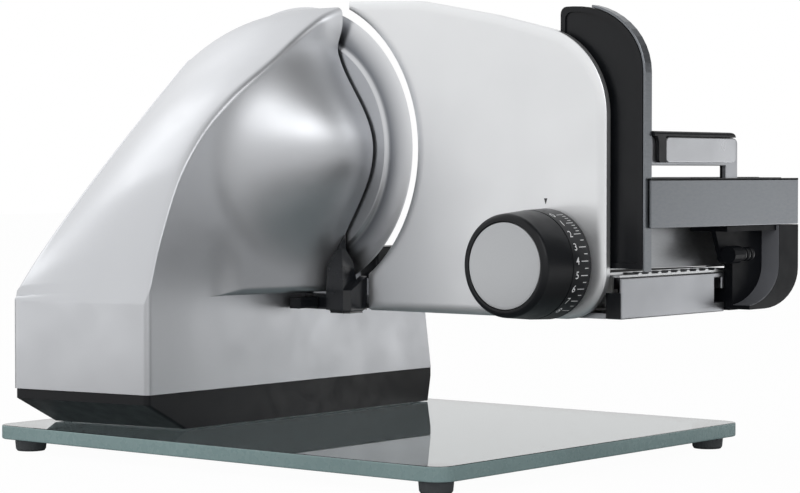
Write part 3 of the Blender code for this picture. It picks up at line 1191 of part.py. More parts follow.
def build_pusher_grip(finish):
    """The light bracket with its leg, the black grip bar over it and the pad on its front."""
    low, high = GLASS_TOP + BRACKET_BOTTOM_RISE, GLASS_TOP + BRACKET_TOP_RISE
    foot = GLASS_TOP + BRACKET_FOOT_RISE
    left = PUSHER_RIGHT + SEAT
    soft = PAD_CORNER
    outline = rounded([(left, low), (LEG_LEFT, low), (LEG_LEFT, foot), (LEG_RIGHT, foot), (LEG_RIGHT, high),
                       (left, high)], [0, soft / 3, soft / 3, soft / 3, soft, 0], 3)
    front = PUSHER_FRONT + SLIDING
    back = front + BRACKET_THICK
    bracket = set_piece("pusher_bracket", prism(outline, "Y", front, back), finish["aluminium"])
    soften(bracket, 0.0004, 1, 60)
    pad_low, pad_high = low + PAD_MARGIN, high + SEAT
    face = front - PAD_THICK
    top = pad_high + SEAT + GRIP_LIP
    under = low + PAD_MARGIN
    outline = rounded([(back + SEAT, under), (back + SEAT, high + SEAT), (face, high + 2 * SEAT), (face, top),
                       (back + GRIP_DEPTH, top), (back + GRIP_DEPTH, under)],
                      [0, 0, 0, GRIP_LIP * 0.6, GRIP_ROUND, GRIP_ROUND], 3)
    grip = set_piece("pusher_grip", prism(outline, "X", left, GRIP_RIGHT), finish["black"])
    cheek = PAD_LEFT - GRIP_CHEEK
    outline = [(cheek, high + 3 * SEAT), (cheek + PAD_MARGIN, high - PAD_CORNER), (cheek + PAD_MARGIN, low + PAD_CORNER),
               (cheek + PAD_CORNER, pad_low), (PAD_LEFT - SEAT, pad_low), (PAD_LEFT - SEAT, high + 3 * SEAT)]
    join(grip, prism(outline, "Y", face, front - SEAT))
    arc = ellipse_corner((GRIP_RIGHT - GRIP_CORNER, top - GRIP_CORNER), GRIP_CORNER, GRIP_CORNER, 90, 0, 6)
    beyond = GRIP_CORNER / 2
    outline = arc + [(GRIP_RIGHT + beyond, top - GRIP_CORNER), (GRIP_RIGHT + beyond, top + beyond),
                     (GRIP_RIGHT - GRIP_CORNER, top + beyond)]
    cut(grip, prism(outline, "Y", face - beyond, back + 2 * GRIP_DEPTH))
    join(grip, box((LEG_LEFT + SEAT, LEG_RIGHT - SEAT), (back + SEAT, back + SEAT + BRACKET_BACK_THICK),
                   (foot + SEAT, low + 2 * PAD_MARGIN)))
    outline = rounded([(PAD_LEFT, pad_low), (GRIP_RIGHT - SEAT, pad_low), (GRIP_RIGHT - SEAT, pad_high),
                       (PAD_LEFT, pad_high)], PAD_CORNER, 4)
    pad = set_piece("grip_pad", prism(outline, "Y", face, front - SEAT), finish["aluminium"])
    soften(pad, 0.0006, 2, 60)


def main():
    clear_scene()
    finish = make_materials()
    for build in (build_glass, build_feet, build_skirt, build_housing, build_switch, build_deflector,
                  build_blade, build_blade_drive, build_motor, build_gear_case, build_rail, build_rod_guides,
                  build_stop_plate, build_knob, build_tray, build_frame, build_lock, build_glides,
                  build_pusher_plate, build_pusher_grip):
        build(finish)


main()
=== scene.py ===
"""The looks of a kitchen food slicer: finishes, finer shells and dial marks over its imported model.

Places are written as in the slicer's own drawing: X runs across the cut, Y away from
the user and Z up, counted in metres from the glass base's front left corner at table
height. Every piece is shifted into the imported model's frame as it is made.
"""

import json
from math import acos, cos, pi, radians, sin, sqrt

import bmesh
import bpy
from mathutils import Matrix, Vector

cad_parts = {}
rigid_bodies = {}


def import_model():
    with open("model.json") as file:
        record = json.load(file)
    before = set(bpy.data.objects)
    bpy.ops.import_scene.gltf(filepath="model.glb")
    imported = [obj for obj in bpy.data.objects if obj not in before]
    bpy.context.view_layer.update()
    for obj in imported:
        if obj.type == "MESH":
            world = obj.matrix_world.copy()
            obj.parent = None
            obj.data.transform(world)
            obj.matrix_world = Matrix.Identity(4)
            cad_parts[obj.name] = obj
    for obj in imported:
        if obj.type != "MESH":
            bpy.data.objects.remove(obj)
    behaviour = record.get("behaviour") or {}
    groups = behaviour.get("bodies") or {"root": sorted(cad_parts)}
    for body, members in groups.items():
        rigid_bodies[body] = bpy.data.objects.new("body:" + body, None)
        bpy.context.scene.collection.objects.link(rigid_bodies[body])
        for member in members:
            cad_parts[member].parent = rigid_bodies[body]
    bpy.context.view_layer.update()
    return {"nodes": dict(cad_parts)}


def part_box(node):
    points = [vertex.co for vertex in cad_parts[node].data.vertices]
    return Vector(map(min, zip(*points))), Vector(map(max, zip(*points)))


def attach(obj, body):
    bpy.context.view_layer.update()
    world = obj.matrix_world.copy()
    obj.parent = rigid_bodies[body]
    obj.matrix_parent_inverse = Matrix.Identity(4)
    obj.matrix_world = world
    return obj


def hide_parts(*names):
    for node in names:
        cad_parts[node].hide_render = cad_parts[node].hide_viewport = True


# Camera of the photograph
CAMERA_PLACE = (-0.9338, -0.7308, 0.160)
CAMERA_YAW = 39.02
CAMERA_PITCH = -1.77
IMAGE_WIDTH = 800
FOCAL_PIXELS = 2431
SENSOR_WIDTH = 36.0

# All pieces
FINE_GAP = 0.0002
MERGE_DISTANCE = 0.00001
SMOOTH_ANGLE = 30
WHOLE_TURN = 2 * pi

# Motor housing
GLASS_TOP = 0.015
CUT_X = 0.161
BLADE_Y = 0.232
BLADE_Z = GLASS_TOP + 0.158
WALL_Y = 0.218
HOUSING_LEFT = 0.016
HOUSING_LEFT_BACK = 0.0025
HOUSING_BACK_LEFT = 0.3122
HOUSING_BACK_RIGHT = 0.323
HOUSING_END = CUT_X - 0.0054
CORNER_ROUND = 0.003
RIDGE_ROUND = 0.0042
SKIRT_TOP = GLASS_TOP + 0.0215
CREASE_Z = GLASS_TOP + 0.0742
PEAK_Z = GLASS_TOP + 0.2442
BACK_EDGE_RISE = 0.140
BACK_EDGE_POWER = 0.885
TOP_POWER_LEFT = 1.2
TOP_POWER_RIGHT = 2.75
WALL_LEAN = 0.019
FLARE = 0.005
FLARE_LENGTH = 0.012
FLARE_START = 0.056
FLARE_HEIGHT = 0.018
DOME_HEIGHT = 0.0296
DOME_CENTRE = 0.012
DOME_LENGTH = 0.084
DOME_TOP = 0.069
DOME_FOOT = 0.077
DOME_POWER = 2.5
LEDGE_START = 0.33
LEDGE_RAMP = 0.17
LEDGE_BLEND = 0.045
LEDGE_ROUND = 0.0045
LEDGE_ROUND_SHARE = 0.9
LEAST_ROUND = 0.00002
RIDGE_SHAPE = ((0, 0), (0.07, 0.2), (0.19, 0.43), (0.41, 0.648), (0.69, 0.825), (0.9, 0.953), (1, 1))
PLATFORM_RIGHT = 0.271
PLATFORM_SLANT = 0.007
PLATFORM_TOP = GLASS_TOP + 0.0645 - 0.0003
HUB_OPENING = 0.016
HUB_FACETS = 32
STATIONS = 84
STATION_POWER = 1.1
FRONT_STEPS = 96
FINE_STEPS = 3 * FRONT_STEPS
TOP_STEPS = 28
ROUND_STEPS = 6
HOUSING_SMOOTH = 32

# Blade
BLADE_RADIUS = 0.085
BLADE_STEP_RADIUS = 0.068
BLADE_DISH = 0.0015
BLADE_THICK = 0.002
BLADE_STEP = 0.0013
BLADE_BEVEL = 0.0022
BLADE_STEP_SOFT = 0.0028
BLADE_EDGE = 0.0003
BLADE_EDGE_BACK = BLADE_DISH / 4
BLADE_BORE = 0.0063
BLADE_FACETS = 180
BLADE_STEP_PARTS = 8
BLADE_GRIND_PARTS = 16
BLADE_GRIND_POWER = 2.2
BLADE_SMOOTH = 22

# Stop plate
PLATE_FACE = CUT_X + 0.0017
PLATE_THICK = 0.0055
PLATE_OUTER = PLATE_FACE - PLATE_THICK
PLATE_RIM = 0.0017
PLATE_FACE_ROUND = PLATE_RIM / 3
PLATE_ROLL = 0.006
PLATE_ROLL_DEPTH = 0.0018
PLATE_FRONT = 0.0107
PLATE_BACK_TOP = 0.193
PLATE_BACK_BOTTOM = 0.178
PLATE_BOTTOM = GLASS_TOP + 0.064
PLATE_TOP = GLASS_TOP + 0.2446
PLATE_FRONT_TOP = GLASS_TOP + 0.2145
PLATE_CREST_Y = 0.140
PLATE_CREST_DROP = 0.0017
PLATE_SHOULDER = (0.085, GLASS_TOP + 0.2326)
PLATE_CREST_ROUND = 0.075
PLATE_SHOULDER_ROUND = 0.100
PLATE_TOP_ROUND = 0.050
PLATE_FOOT_ROUND = 0.027
PLATE_TIP_ROUND = 0.00204
PLATE_TIP_LEAST = 0.00017
PLATE_BLADE_GAP = 0.0058
PLATE_CORNER_STEPS = 20
PLATE_CUT_STEPS = 60
PLATE_ROLL_STEPS = 14
PLATE_FACE_STEPS = 3
PLATE_SMOOTH = 40

# Thickness knob and its dial
KNOB_Y = 0.050
KNOB_Z = GLASS_TOP + 0.0940
DIAL_RADIUS = 0.0306
DIAL_WIDTH = 0.0153
DIAL_TAPER = 0.0006
BOSS_RADIUS = 0.008
BOSS_LENGTH = 0.023
BOSS_FACETS = 32
NUMBER_FIRST_ANGLE = 26.2
NUMBER_STEP_ANGLE = 14.8
NUMBER_COUNT = 9
NUMBER_SIZE = 0.0060
NUMBER_BOLD = 0.00002
NUMBER_PLACE = 0.0120
PRINT_LIFT = 0.00008
TICK_START = 0.0028
TICK_REACH = 0.0060
TICK_HALF_REACH = 0.0029
TICK_WIDTH = 0.00042
FINE_NUMBERS = 2
FINE_TICKS = 4
PLAIN_TICKS = 2
POINTER_RADIUS = 0.0345
POINTER_HALF = 0.0011
POINTER_HEIGHT = 0.0034
GRIP_RADIUS = 0.0299
GRIP_FRONT_RADIUS = 0.0283
GROOVE_WIDTH = 0.0006
GROOVE_DEPTH = 0.0008
KNOB_LENGTH = 0.0384
KNOB_ROUND = 0.0032
KNOB_ROUND_STOP = 93
KNOB_ROUND_STEPS = 10
KNOB_WALL = 0.0045
KNOB_FACETS = 128
KNOB_SMOOTH = 35
SLEEVE_RADIUS = 0.0105
SLEEVE_DEPTH = 0.0115
SCREW_HOLE = 0.0048
CAP_RADIUS = 0.0239
CAP_THICK = 0.0022
CAP_CROWN = 0.0001
CAP_CROWN_RADIUS = 0.9 * CAP_RADIUS
CAP_FLAT_RADIUS = CAP_RADIUS / 2
CAP_SMOOTH = 20

# Lock roller under the band
ROLLER_LEFT = 0.2695
ROLLER_RIGHT = 0.2825
ROLLER_RADIUS = 0.004
ROLLER_EDGE = 0.001
ROLLER_AXLE = 0.002
ROLLER_AXLE_LEFT = 0.264
ROLLER_Y = -0.0048
ROLLER_Z = GLASS_TOP + 0.0975
ROLLER_RINGS = 3
ROLLER_VALLEY = 0.35
ROLLER_EDGE_STEPS = 4
ROLLER_FACETS = 48
ROLLER_SMOOTH = 35

# Carriage: its band, the hand guard's inner wall and the rail's front cap
CARRIAGE_RIGHT = 0.3268
CARRIAGE_FRONT = -0.0113
BAND_LEFT = 0.1689
BAND_TOP = GLASS_TOP + 0.1410
BAND_LINE = 0.0010
BAND_LINE_DEPTH = 0.0028
POCKET_DEPTH = 0.0114
GUARD_WIDTH = 0.022
GUARD_LOW = GLASS_TOP + 0.0658 + 0.0018
GUARD_CURVE_X = 0.0385
GUARD_CURVE_Z = 0.0225
GUARD_CURVE_ANGLE = 80
GUARD_STEPS = 16
GUARD_TOP = GLASS_TOP + 0.1142 - 0.0005
LINER_THICK = 0.0004
RAIL_CAP_LEFT = 0.165
RAIL_CAP_FRONT = 0.005
RAIL_CAP_DEPTH = 0.0100
RAIL_CAP_SPAN = (GLASS_TOP + 0.0648, GLASS_TOP + 0.0788)
CAP_SIDE_OUT = (0.0003, 0.00005)

# Tones of the finishes, the darkest and the lightest, as linear red, green and blue
HOUSING_TONES = ((0.56, 0.572, 0.595), (0.61, 0.622, 0.645))
PLATE_TONES = ((0.79, 0.80, 0.815), (0.84, 0.85, 0.86))
BLADE_FLAT_TONES = ((0.56, 0.57, 0.59), (0.62, 0.63, 0.65))
# The blade's hollow carries painted shade, dark at its step and light at its edge
BLADE_HOLLOW_SHADE_TONES = ((0.17, 0.18, 0.20), (0.70, 0.71, 0.73))
CAP_TONES = ((0.40, 0.41, 0.425), (0.46, 0.47, 0.48))
STAINLESS_TONES = ((0.50, 0.51, 0.52), (0.57, 0.58, 0.59))
ALUMINIUM_TONES = ((0.34, 0.35, 0.37), (0.39, 0.40, 0.42))
BAND_TONES = ((0.185, 0.197, 0.213), (0.225, 0.237, 0.253))
PAD_TONES = ((0.42, 0.43, 0.45), (0.48, 0.49, 0.51))
WALL_TONES = ((0.33, 0.34, 0.355), (0.39, 0.40, 0.415))
BRONZE_TONES = ((0.46, 0.31, 0.15), (0.60, 0.42, 0.23))
BLACK_TONES = ((0.0045, 0.005, 0.0065), (0.008, 0.009, 0.011))
MATT_BLACK_TONES = ((0.004, 0.0045, 0.006), (0.006, 0.007, 0.009))
GLOSS_BLACK_TONES = ((0.006, 0.007, 0.009), (0.010, 0.011, 0.014))
GUARD_TONES = ((0.13, 0.135, 0.15), (0.17, 0.175, 0.19))
NYLON_TONES = ((0.76, 0.76, 0.74), (0.84, 0.84, 0.82))
RUBBER_TONES = ((0.045, 0.05, 0.055), (0.075, 0.08, 0.085))
GLASS_TONES = ((0.12, 0.15, 0.155), (0.15, 0.18, 0.185))
GLASS_EDGE_TONES = ((0.14, 0.20, 0.205), (0.26, 0.37, 0.37))
FLOOR_TONES = ((0.80, 0.80, 0.80), (0.83, 0.83, 0.83))

# Single colours, the glass's index of refraction and how far print fades
GLASS_SHADOW = (0.86, 0.885, 0.885, 1)
GLASS_INDEX = 1.5
WHITE_INK = (0.78, 0.79, 0.80)
DARK_INK = (0.05, 0.05, 0.055)
INK_FADE = 0.92
WHITE = (1, 1, 1, 1)

# Grain of the finishes: noise scales per metre, depths in metres, stretches and ranges of roughness
SATIN_GRAIN = 900
SATIN_CLOUDS = 9
SATIN_WEAR = 40
SATIN_DEPTH = 0.000004
PLATE_GRAIN = 1000
PLATE_DEPTH = 0.000012
PLATE_STRETCH = (1, 1, 0.3)
BRUSH_GRAIN = 900
BRUSH_DEPTH = 0.000005
STAINLESS_STRETCH = (0.15, 1, 1)
BAND_STRETCH = (0.3, 1, 1)
BLADE_CLOUDS = 25
BLADE_ROUGH = (0.27, 0.34)
BLADE_RINGS = 2600
BLADE_RING_DEPTH = 0.000005
CAP_ROUGH = (0.28, 0.34)
CAP_RINGS = 1800
CAP_RING_DEPTH = 0.000004
PLASTIC_CLOUDS = 30
PLASTIC_WEAR = 120
PLASTIC_GRAIN = 700
PLASTIC_DEPTH = 0.000004
NYLON_DEPTH = 0.000005
RUBBER_CLOUDS = 60
RUBBER_ROUGH = (0.62, 0.82)
RUBBER_GRAIN = 1800
RUBBER_DEPTH = 0.00004
BRONZE_CLOUDS = 80
BRONZE_ROUGH = (0.35, 0.55)
BRONZE_PORES = 1500
BRONZE_DEPTH = 0.00003
GLASS_CLOUDS = 35
GLASS_ROUGH = (0, 0.02)
GLASS_EDGE_CLOUDS = 7
GLASS_EDGE_WEAR = 200
GLASS_EDGE_ROUGH = (0.22, 0.34)
INK_CLOUDS = 900
INK_WEAR = 400
INK_ROUGH = (0.45, 0.6)
FLOOR_CLOUDS = 6

# How level the glass's faces are where the ground finish ends and where the clear one is full
GLASS_EDGE_TURN = (0.45, 0.65)

# Nodes that get a finish of their own instead of their slot's
OWN_FINISH = {"front_band": "band_metal", "pusher_edge": "band_metal", "grip_pad": "pad_metal",
              "food_wall": "wall_metal", "carriage_frame": "matt_black", "slice_deflector": "gloss_black"}

# Lamps: azimuth from +X towards +Y, elevation, distance, width, height, brightness
LAMPS = {
    "key_softbox": (-108, 36, 1.6, 0.50, 1.00, 2.45),
    "back_softbox": (90, 36, 1.6, 0.9, 0.5, 1.15),
    "side_softbox": (-36, 2, 1.0, 0.24, 0.28, 1.15),
    "low_softbox": (-34, -12, 0.45, 0.12, 0.05, 2.6),
    "left_softbox": (141, -5.4, 0.8, 0.5, 0.09, 1.3),
}
AIM_HEIGHT = 0.12

# Room: azimuth and elevation of its shady parts, where the shade starts and is full, and its levels
SHADY_SIDE = (-42, 8)
SHADY_TURN = (0.35, 0.95)
ROOM_LEVELS = (1.0, 0.22)
CEILING_SIDE = (-70, 66)
CEILING_TURN = (0.72, 0.96)
CEILING_LEVELS = (1, 0.2)
# The floor's painted shade, seen only in metal: its side, how far it leans there, where it starts and is
# full, and its levels
FLOOR_SIDE = (-90, 0)
FLOOR_LEAN = 0.8
FLOOR_TURN = (1.15, 0.12)
FLOOR_LEVELS = (0.95, 0.14)
FLOOR_HALF = 6.0
FLOOR_WHITE = 0.97

# Where the glass base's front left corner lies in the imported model, set once that is loaded
ORIGIN = Vector((0, 0, 0))


# Materials

class Finish:
    """A node material under construction, with short words for its usual nodes."""

    def __init__(self, name):
        self.material = bpy.data.materials.new(name)
        self.begin("ShaderNodeOutputMaterial", "Object")
        self.shader = self.add("ShaderNodeBsdfPrincipled")
        self.show(self.shader)

    def begin(self, output, place):
        """Empties the node tree and adds its output and its coordinates."""
        self.material.use_nodes = True
        self.tree = self.material.node_tree
        self.tree.nodes.clear()
        self.output = self.add(output)
        self.place = self.add("ShaderNodeTexCoord").outputs[place]

    def add(self, kind):
        return self.tree.nodes.new(kind)

    def link(self, source, target):
        self.tree.links.new(source, target)

    def show(self, node):
        self.link(node.outputs[0], self.output.inputs["Surface"])

    def feed(self, socket, value):
        """Gives a socket its value, or the link that its value comes through."""
        if isinstance(value, bpy.types.NodeSocket):
            self.link(value, socket)
        else:
            socket.default_value = value

    def set(self, **values):
        for words, value in values.items():
            self.shader.inputs[words.replace("_", " ")].default_value = value

    def figure(self, operation, *values):
        """A sum on numbers and sockets."""
        node = self.add("ShaderNodeMath")
        node.operation = operation
        for socket, value in zip(node.inputs, values):
            self.feed(socket, value)
        return node.outputs["Value"]

    def vector(self, operation, source, other=None):
        """A sum on a place or a direction."""
        node = self.add("ShaderNodeVectorMath")
        node.operation = operation
        self.link(source, node.inputs[0])
        if other is not None:
            node.inputs[1].default_value = other
        return node.outputs["Value" if operation in ("LENGTH", "DOT_PRODUCT") else "Vector"]

    def along(self, source, azimuth, elevation):
        """How far a place or a direction lies along one direction."""
        around, up = radians(azimuth), radians(elevation)
        return self.vector("DOT_PRODUCT", source, (cos(around) * cos(up), sin(around) * cos(up), sin(up)))

    def stretched(self, scale):
        mapping = self.add("ShaderNodeMapping")
        mapping.inputs["Scale"].default_value = scale
        self.link(self.place, mapping.inputs["Vector"])
        return mapping.outputs["Vector"]

    def noise(self, scale, detail, vector=None):
        noise = self.add("ShaderNodeTexNoise")
        noise.inputs["Scale"].default_value = scale
        noise.inputs["Detail"].default_value = detail
        self.link(vector or self.place, noise.inputs["Vector"])
        return noise.outputs["Fac"]

    def rings(self, scale, reach):
        """Noise that changes only with a distance, so that it lies in rings."""
        line = self.add("ShaderNodeCombineXYZ")
        self.link(reach, line.inputs["X"])
        return self.noise(scale, detail=3, vector=line.outputs["Vector"])

    def spread(self, source, low, high, start=0.3, stop=0.7, kind="LINEAR"):
        """Turns one range of values into another, at first a texture's middle range."""
        spread = self.add("ShaderNodeMapRange")
        spread.interpolation_type = kind
        for word, value in (("From Min", start), ("From Max", stop), ("To Min", low), ("To Max", high)):
            spread.inputs[word].default_value = value
        self.link(source, spread.inputs["Value"])
        return spread.outputs["Result"]

    def shade(self, source, turn, levels):
        """A soft change from light to shade as a value goes from one end of its turn to the other."""
        return self.spread(source, *levels, *turn, kind="SMOOTHSTEP")

    def blend(self, factor, first, second):
        """A colour between two colours, each given as numbers or as a socket."""
        mix = self.add("ShaderNodeMix")
        mix.data_type = "RGBA"
        self.link(factor, mix.inputs["Factor"])
        for socket, value in ((mix.inputs[6], first), (mix.inputs[7], second)):
            self.feed(socket, (*value, 1) if isinstance(value, tuple) else value)
        return mix.outputs[2]

    def mixed(self, factor, first, second):
        """A shader node that goes from one shader node to another."""
        mix = self.add("ShaderNodeMixShader")
        self.link(factor, mix.inputs["Fac"])
        self.link(first.outputs[0], mix.inputs[1])
        self.link(second.outputs[0], mix.inputs[2])
        return mix

    def seen_as_white(self):
        """1 for what the camera sees directly or through glass, and 0 for all else."""
        rays = self.add("ShaderNodeLightPath")
        return self.figure("MAXIMUM", rays.outputs["Is Camera Ray"], rays.outputs["Is Transmission Ray"])

    def colour(self, source):
        self.link(source, self.shader.inputs["Base Color"])

    def roughness(self, source):
        self.link(source, self.shader.inputs["Roughness"])

    def bump(self, height, distance, strength=1.0):
        bump = self.add("ShaderNodeBump")
        bump.inputs["Distance"].default_value = distance
        bump.inputs["Strength"].default_value = strength
        self.link(height, bump.inputs["Height"])
        self.link(bump.outputs["Normal"], self.shader.inputs["Normal"])


def satin_metal(name, tones, rough, metallic=1.0, grain=SATIN_GRAIN, depth=SATIN_DEPTH, stretch=(1, 1, 1)):
    """Bead-blasted or satin-coated metal: a fine even grain with slow changes of tone."""
    finish = Finish(name)
    finish.colour(finish.blend(finish.noise(SATIN_CLOUDS, detail=2), *tones))
    finish.roughness(finish.spread(finish.noise(SATIN_WEAR, detail=4), *rough))
    finish.bump(finish.noise(grain, detail=2, vector=finish.stretched(stretch)), depth, strength=0.5)
    finish.set(Metallic=metallic)
    return finish.material


def brushed_metal(name, tones, stretch, rough):
    """Metal brushed one way: short streaks in tone, roughness and height."""
    finish = Finish(name)
    streaks = finish.noise(BRUSH_GRAIN, detail=3, vector=finish.stretched(stretch))
    finish.colour(finish.blend(finish.spread(streaks, 0, 1), *tones))
    finish.roughness(finish.spread(streaks, *rough))
    finish.bump(streaks, BRUSH_DEPTH, strength=0.3)
    finish.set(Metallic=1.0)
    return finish.material


def blade_metal():
    """Turned and polished steel, with fine rings round the axis and painted shade that darkens the hollow
    behind the edge.
    """
    finish = Finish("ground_steel")
    centre = ORIGIN + Vector((CUT_X, BLADE_Y, BLADE_Z))
    across = finish.vector("MULTIPLY", finish.vector("SUBTRACT", finish.place, centre), (0, 1, 1))
    reach = finish.vector("LENGTH", across)
    rings = finish.rings(BLADE_RINGS, reach)
    flat_tone = finish.blend(finish.noise(BLADE_CLOUDS, detail=2), *BLADE_FLAT_TONES)
    # Painted shade in the hollow ground ring: dark at the step, lighter towards the edge
    outward = finish.spread(reach, 0, 1, BLADE_STEP_RADIUS, BLADE_RADIUS)
    painted_hollow_shade = finish.blend(outward, *BLADE_HOLLOW_SHADE_TONES)
    ground = finish.spread(reach, 0, 1, BLADE_STEP_RADIUS, BLADE_STEP_RADIUS + BLADE_STEP_SOFT)
    finish.colour(finish.blend(ground, flat_tone, painted_hollow_shade))
    finish.roughness(finish.spread(rings, *BLADE_ROUGH))
    finish.bump(rings, BLADE_RING_DEPTH, strength=0.2)
    finish.set(Metallic=1.0)
    return finish.material


def spun_cap():
    """A lathe-turned cap: its sheen runs round the middle."""
    finish = Finish("spun_cap")
    centre = ORIGIN + Vector((PLATE_OUTER - KNOB_LENGTH, KNOB_Y, KNOB_Z))
    rings = finish.rings(CAP_RINGS, finish.vector("LENGTH", finish.vector("SUBTRACT", finish.place, centre)))
    finish.colour(finish.blend(rings, *CAP_TONES))
    finish.roughness(finish.spread(rings, *CAP_ROUGH))
    finish.bump(rings, CAP_RING_DEPTH, strength=0.3)
    finish.set(Metallic=1.0)
    return finish.material


def moulded_plastic(name, tones, rough, sheen=0.28, depth=PLASTIC_DEPTH):
    """Moulded plastic with a fine spark-eroded grain."""
    finish = Finish(name)
    finish.colour(finish.blend(finish.noise(PLASTIC_CLOUDS, detail=3), *tones))
    finish.roughness(finish.spread(finish.noise(PLASTIC_WEAR, detail=3), *rough))
    finish.bump(finish.noise(PLASTIC_GRAIN, detail=2), depth, strength=0.5)
    finish.set(Metallic=0.0, Specular_IOR_Level=sheen)
    return finish.material


def rubber():
    finish = Finish("soft_rubber")
    fine = finish.noise(RUBBER_GRAIN, detail=4)
    finish.colour(finish.blend(finish.noise(RUBBER_CLOUDS, detail=3), *RUBBER_TONES))
    finish.roughness(finish.spread(fine, *RUBBER_ROUGH))
    finish.bump(fine, RUBBER_DEPTH)
    return finish.material


def sintered_bronze():
    finish = Finish("sintered_bronze")
    pores = finish.add("ShaderNodeTexVoronoi")
    pores.inputs["Scale"].default_value = BRONZE_PORES
    finish.link(finish.place, pores.inputs["Vector"])
    finish.colour(finish.blend(finish.noise(BRONZE_CLOUDS, detail=3), *BRONZE_TONES))
    finish.roughness(finish.spread(pores.outputs["Distance"], *BRONZE_ROUGH))
    finish.bump(pores.outputs["Distance"], BRONZE_DEPTH)
    finish.set(Metallic=1.0)
    return finish.material


def float_glass():
    """Thick clear glass with grey-green ground edges. Light passes through it to the floor."""
    finish = Finish("float_glass")
    finish.set(IOR=GLASS_INDEX, Transmission_Weight=1.0, Metallic=0.0)
    smudge = finish.noise(GLASS_CLOUDS, detail=4)
    finish.colour(finish.blend(smudge, *GLASS_TONES))
    finish.roughness(finish.spread(smudge, *GLASS_ROUGH))
    edge = finish.add("ShaderNodeBsdfPrincipled")
    painted_hollow_shade = finish.blend(finish.noise(GLASS_EDGE_CLOUDS, detail=2), *GLASS_EDGE_TONES)
    finish.link(painted_hollow_shade, edge.inputs["Base Color"])
    edge_wear = finish.spread(finish.noise(GLASS_EDGE_WEAR, detail=3), *GLASS_EDGE_ROUGH)
    finish.link(edge_wear, edge.inputs["Roughness"])
    facing = finish.add("ShaderNodeSeparateXYZ")
    finish.link(finish.add("ShaderNodeNewGeometry").outputs["Normal"], facing.inputs[0])
    level = finish.figure("ABSOLUTE", facing.outputs["Z"])
    ground = finish.mixed(finish.spread(level, 1, 0, *GLASS_EDGE_TURN), finish.shader, edge)
    clear = finish.add("ShaderNodeBsdfTransparent")
    clear.inputs["Color"].default_value = GLASS_SHADOW
    rays = finish.add("ShaderNodeLightPath")
    finish.show(finish.mixed(rays.outputs["Is Shadow Ray"], ground, clear))
    return finish.material


def print_ink(name, shade):
    finish = Finish(name)
    faded = tuple(value * INK_FADE for value in shade)
    finish.colour(finish.blend(finish.noise(INK_CLOUDS, detail=3), shade, faded))
    finish.roughness(finish.spread(finish.noise(INK_WEAR, detail=2), *INK_ROUGH))
    return finish.material


def make_finishes():
    """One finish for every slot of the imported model, and those that single nodes or pieces have."""
    return {
        "housing_silver": satin_metal("satin_silver", HOUSING_TONES, rough=(0.36, 0.42), metallic=0.95),
        "plate_silver": satin_metal("satin_plate", PLATE_TONES, rough=(0.34, 0.40), metallic=0.95,
                                    grain=PLATE_GRAIN, depth=PLATE_DEPTH, stretch=PLATE_STRETCH),
        "blade_steel": blade_metal(),
        "stainless": brushed_metal("brushed_stainless", STAINLESS_TONES, STAINLESS_STRETCH,
                                   rough=(0.30, 0.36)),
        "aluminium": satin_metal("anodised_aluminium", ALUMINIUM_TONES, rough=(0.30, 0.36)),
        "black_plastic": moulded_plastic("black_plastic", BLACK_TONES, rough=(0.30, 0.40)),
        "foot_rubber": rubber(),
        "clear_glass": float_glass(),
        "white_nylon": moulded_plastic("white_nylon", NYLON_TONES, rough=(0.35, 0.5), depth=NYLON_DEPTH),
        "bronze": sintered_bronze(),
        "matt_black": moulded_plastic("matt_black", MATT_BLACK_TONES, rough=(0.36, 0.46), sheen=0.1),
        "gloss_black": moulded_plastic("gloss_black", GLOSS_BLACK_TONES, rough=(0.20, 0.28), sheen=0.55),
        "guard_grey": moulded_plastic("guard_grey", GUARD_TONES, rough=(0.35, 0.45)),
        "band_metal": brushed_metal("brushed_band", BAND_TONES, BAND_STRETCH, rough=(0.30, 0.36)),
        "wall_metal": brushed_metal("brushed_wall", WALL_TONES, BAND_STRETCH, rough=(0.34, 0.42)),
        "pad_metal": satin_metal("satin_pad", PAD_TONES, rough=(0.26, 0.32)),
        "spun_cap": spun_cap(),
        "number_ink": print_ink("white_print", WHITE_INK),
        "mark_ink": print_ink("dark_print", DARK_INK),
    }


# Shapes in general

def set_piece(name, shape, finish, body, replaced=(), smooth=SMOOTH_ANGLE):
    """Turns a bmesh built in slicer places into an object that rides on a body."""
    bmesh.ops.remove_doubles(shape, verts=shape.verts, dist=MERGE_DISTANCE)
    bmesh.ops.recalc_face_normals(shape, faces=shape.faces)
    bmesh.ops.translate(shape, verts=shape.verts, vec=ORIGIN)
    mesh = bpy.data.meshes.new(name)
    shape.to_mesh(mesh)
    shape.free()
    mesh.shade_smooth()
    mesh.set_sharp_from_angle(angle=radians(smooth))
    mesh.materials.append(finish)
    piece = bpy.data.objects.new(name, mesh)
    bpy.context.scene.collection.objects.link(piece)
    weigh = piece.modifiers.new("even_shading", "WEIGHTED_NORMAL")
    weigh.keep_sharp = True
    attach(piece, body)
    if replaced:
        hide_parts(*replaced)


def lathe(profile, centre, steps, shape=None):
    """Turns a profile of (X, radius) points about a line along X."""
    shape = shape or bmesh.new()
    rings = []
    for place, radius in profile:
        count = steps if radius > 0 else 1
        angles = [WHOLE_TURN * index / steps for index in range(count)]
        places = [(place, centre[0] + radius * cos(angle), centre[1] + radius * sin(angle))
                  for angle in angles]
        rings.append([shape.verts.new(corner) for corner in places])
    pairs = list(zip(rings, rings[1:]))
    if profile[0][1] > 0:
        pairs.append((rings[-1], rings[0]))
    for ring, after in pairs:
        for index in range(steps):
            around = (index + 1) % steps
            corners = [ring[index % len(ring)], ring[around % len(ring)],
                       after[around % len(after)], after[index % len(after)]]
            unique = list(dict.fromkeys(corners))
            if len(unique) > 2:
                shape.faces.new(unique)
    return shape


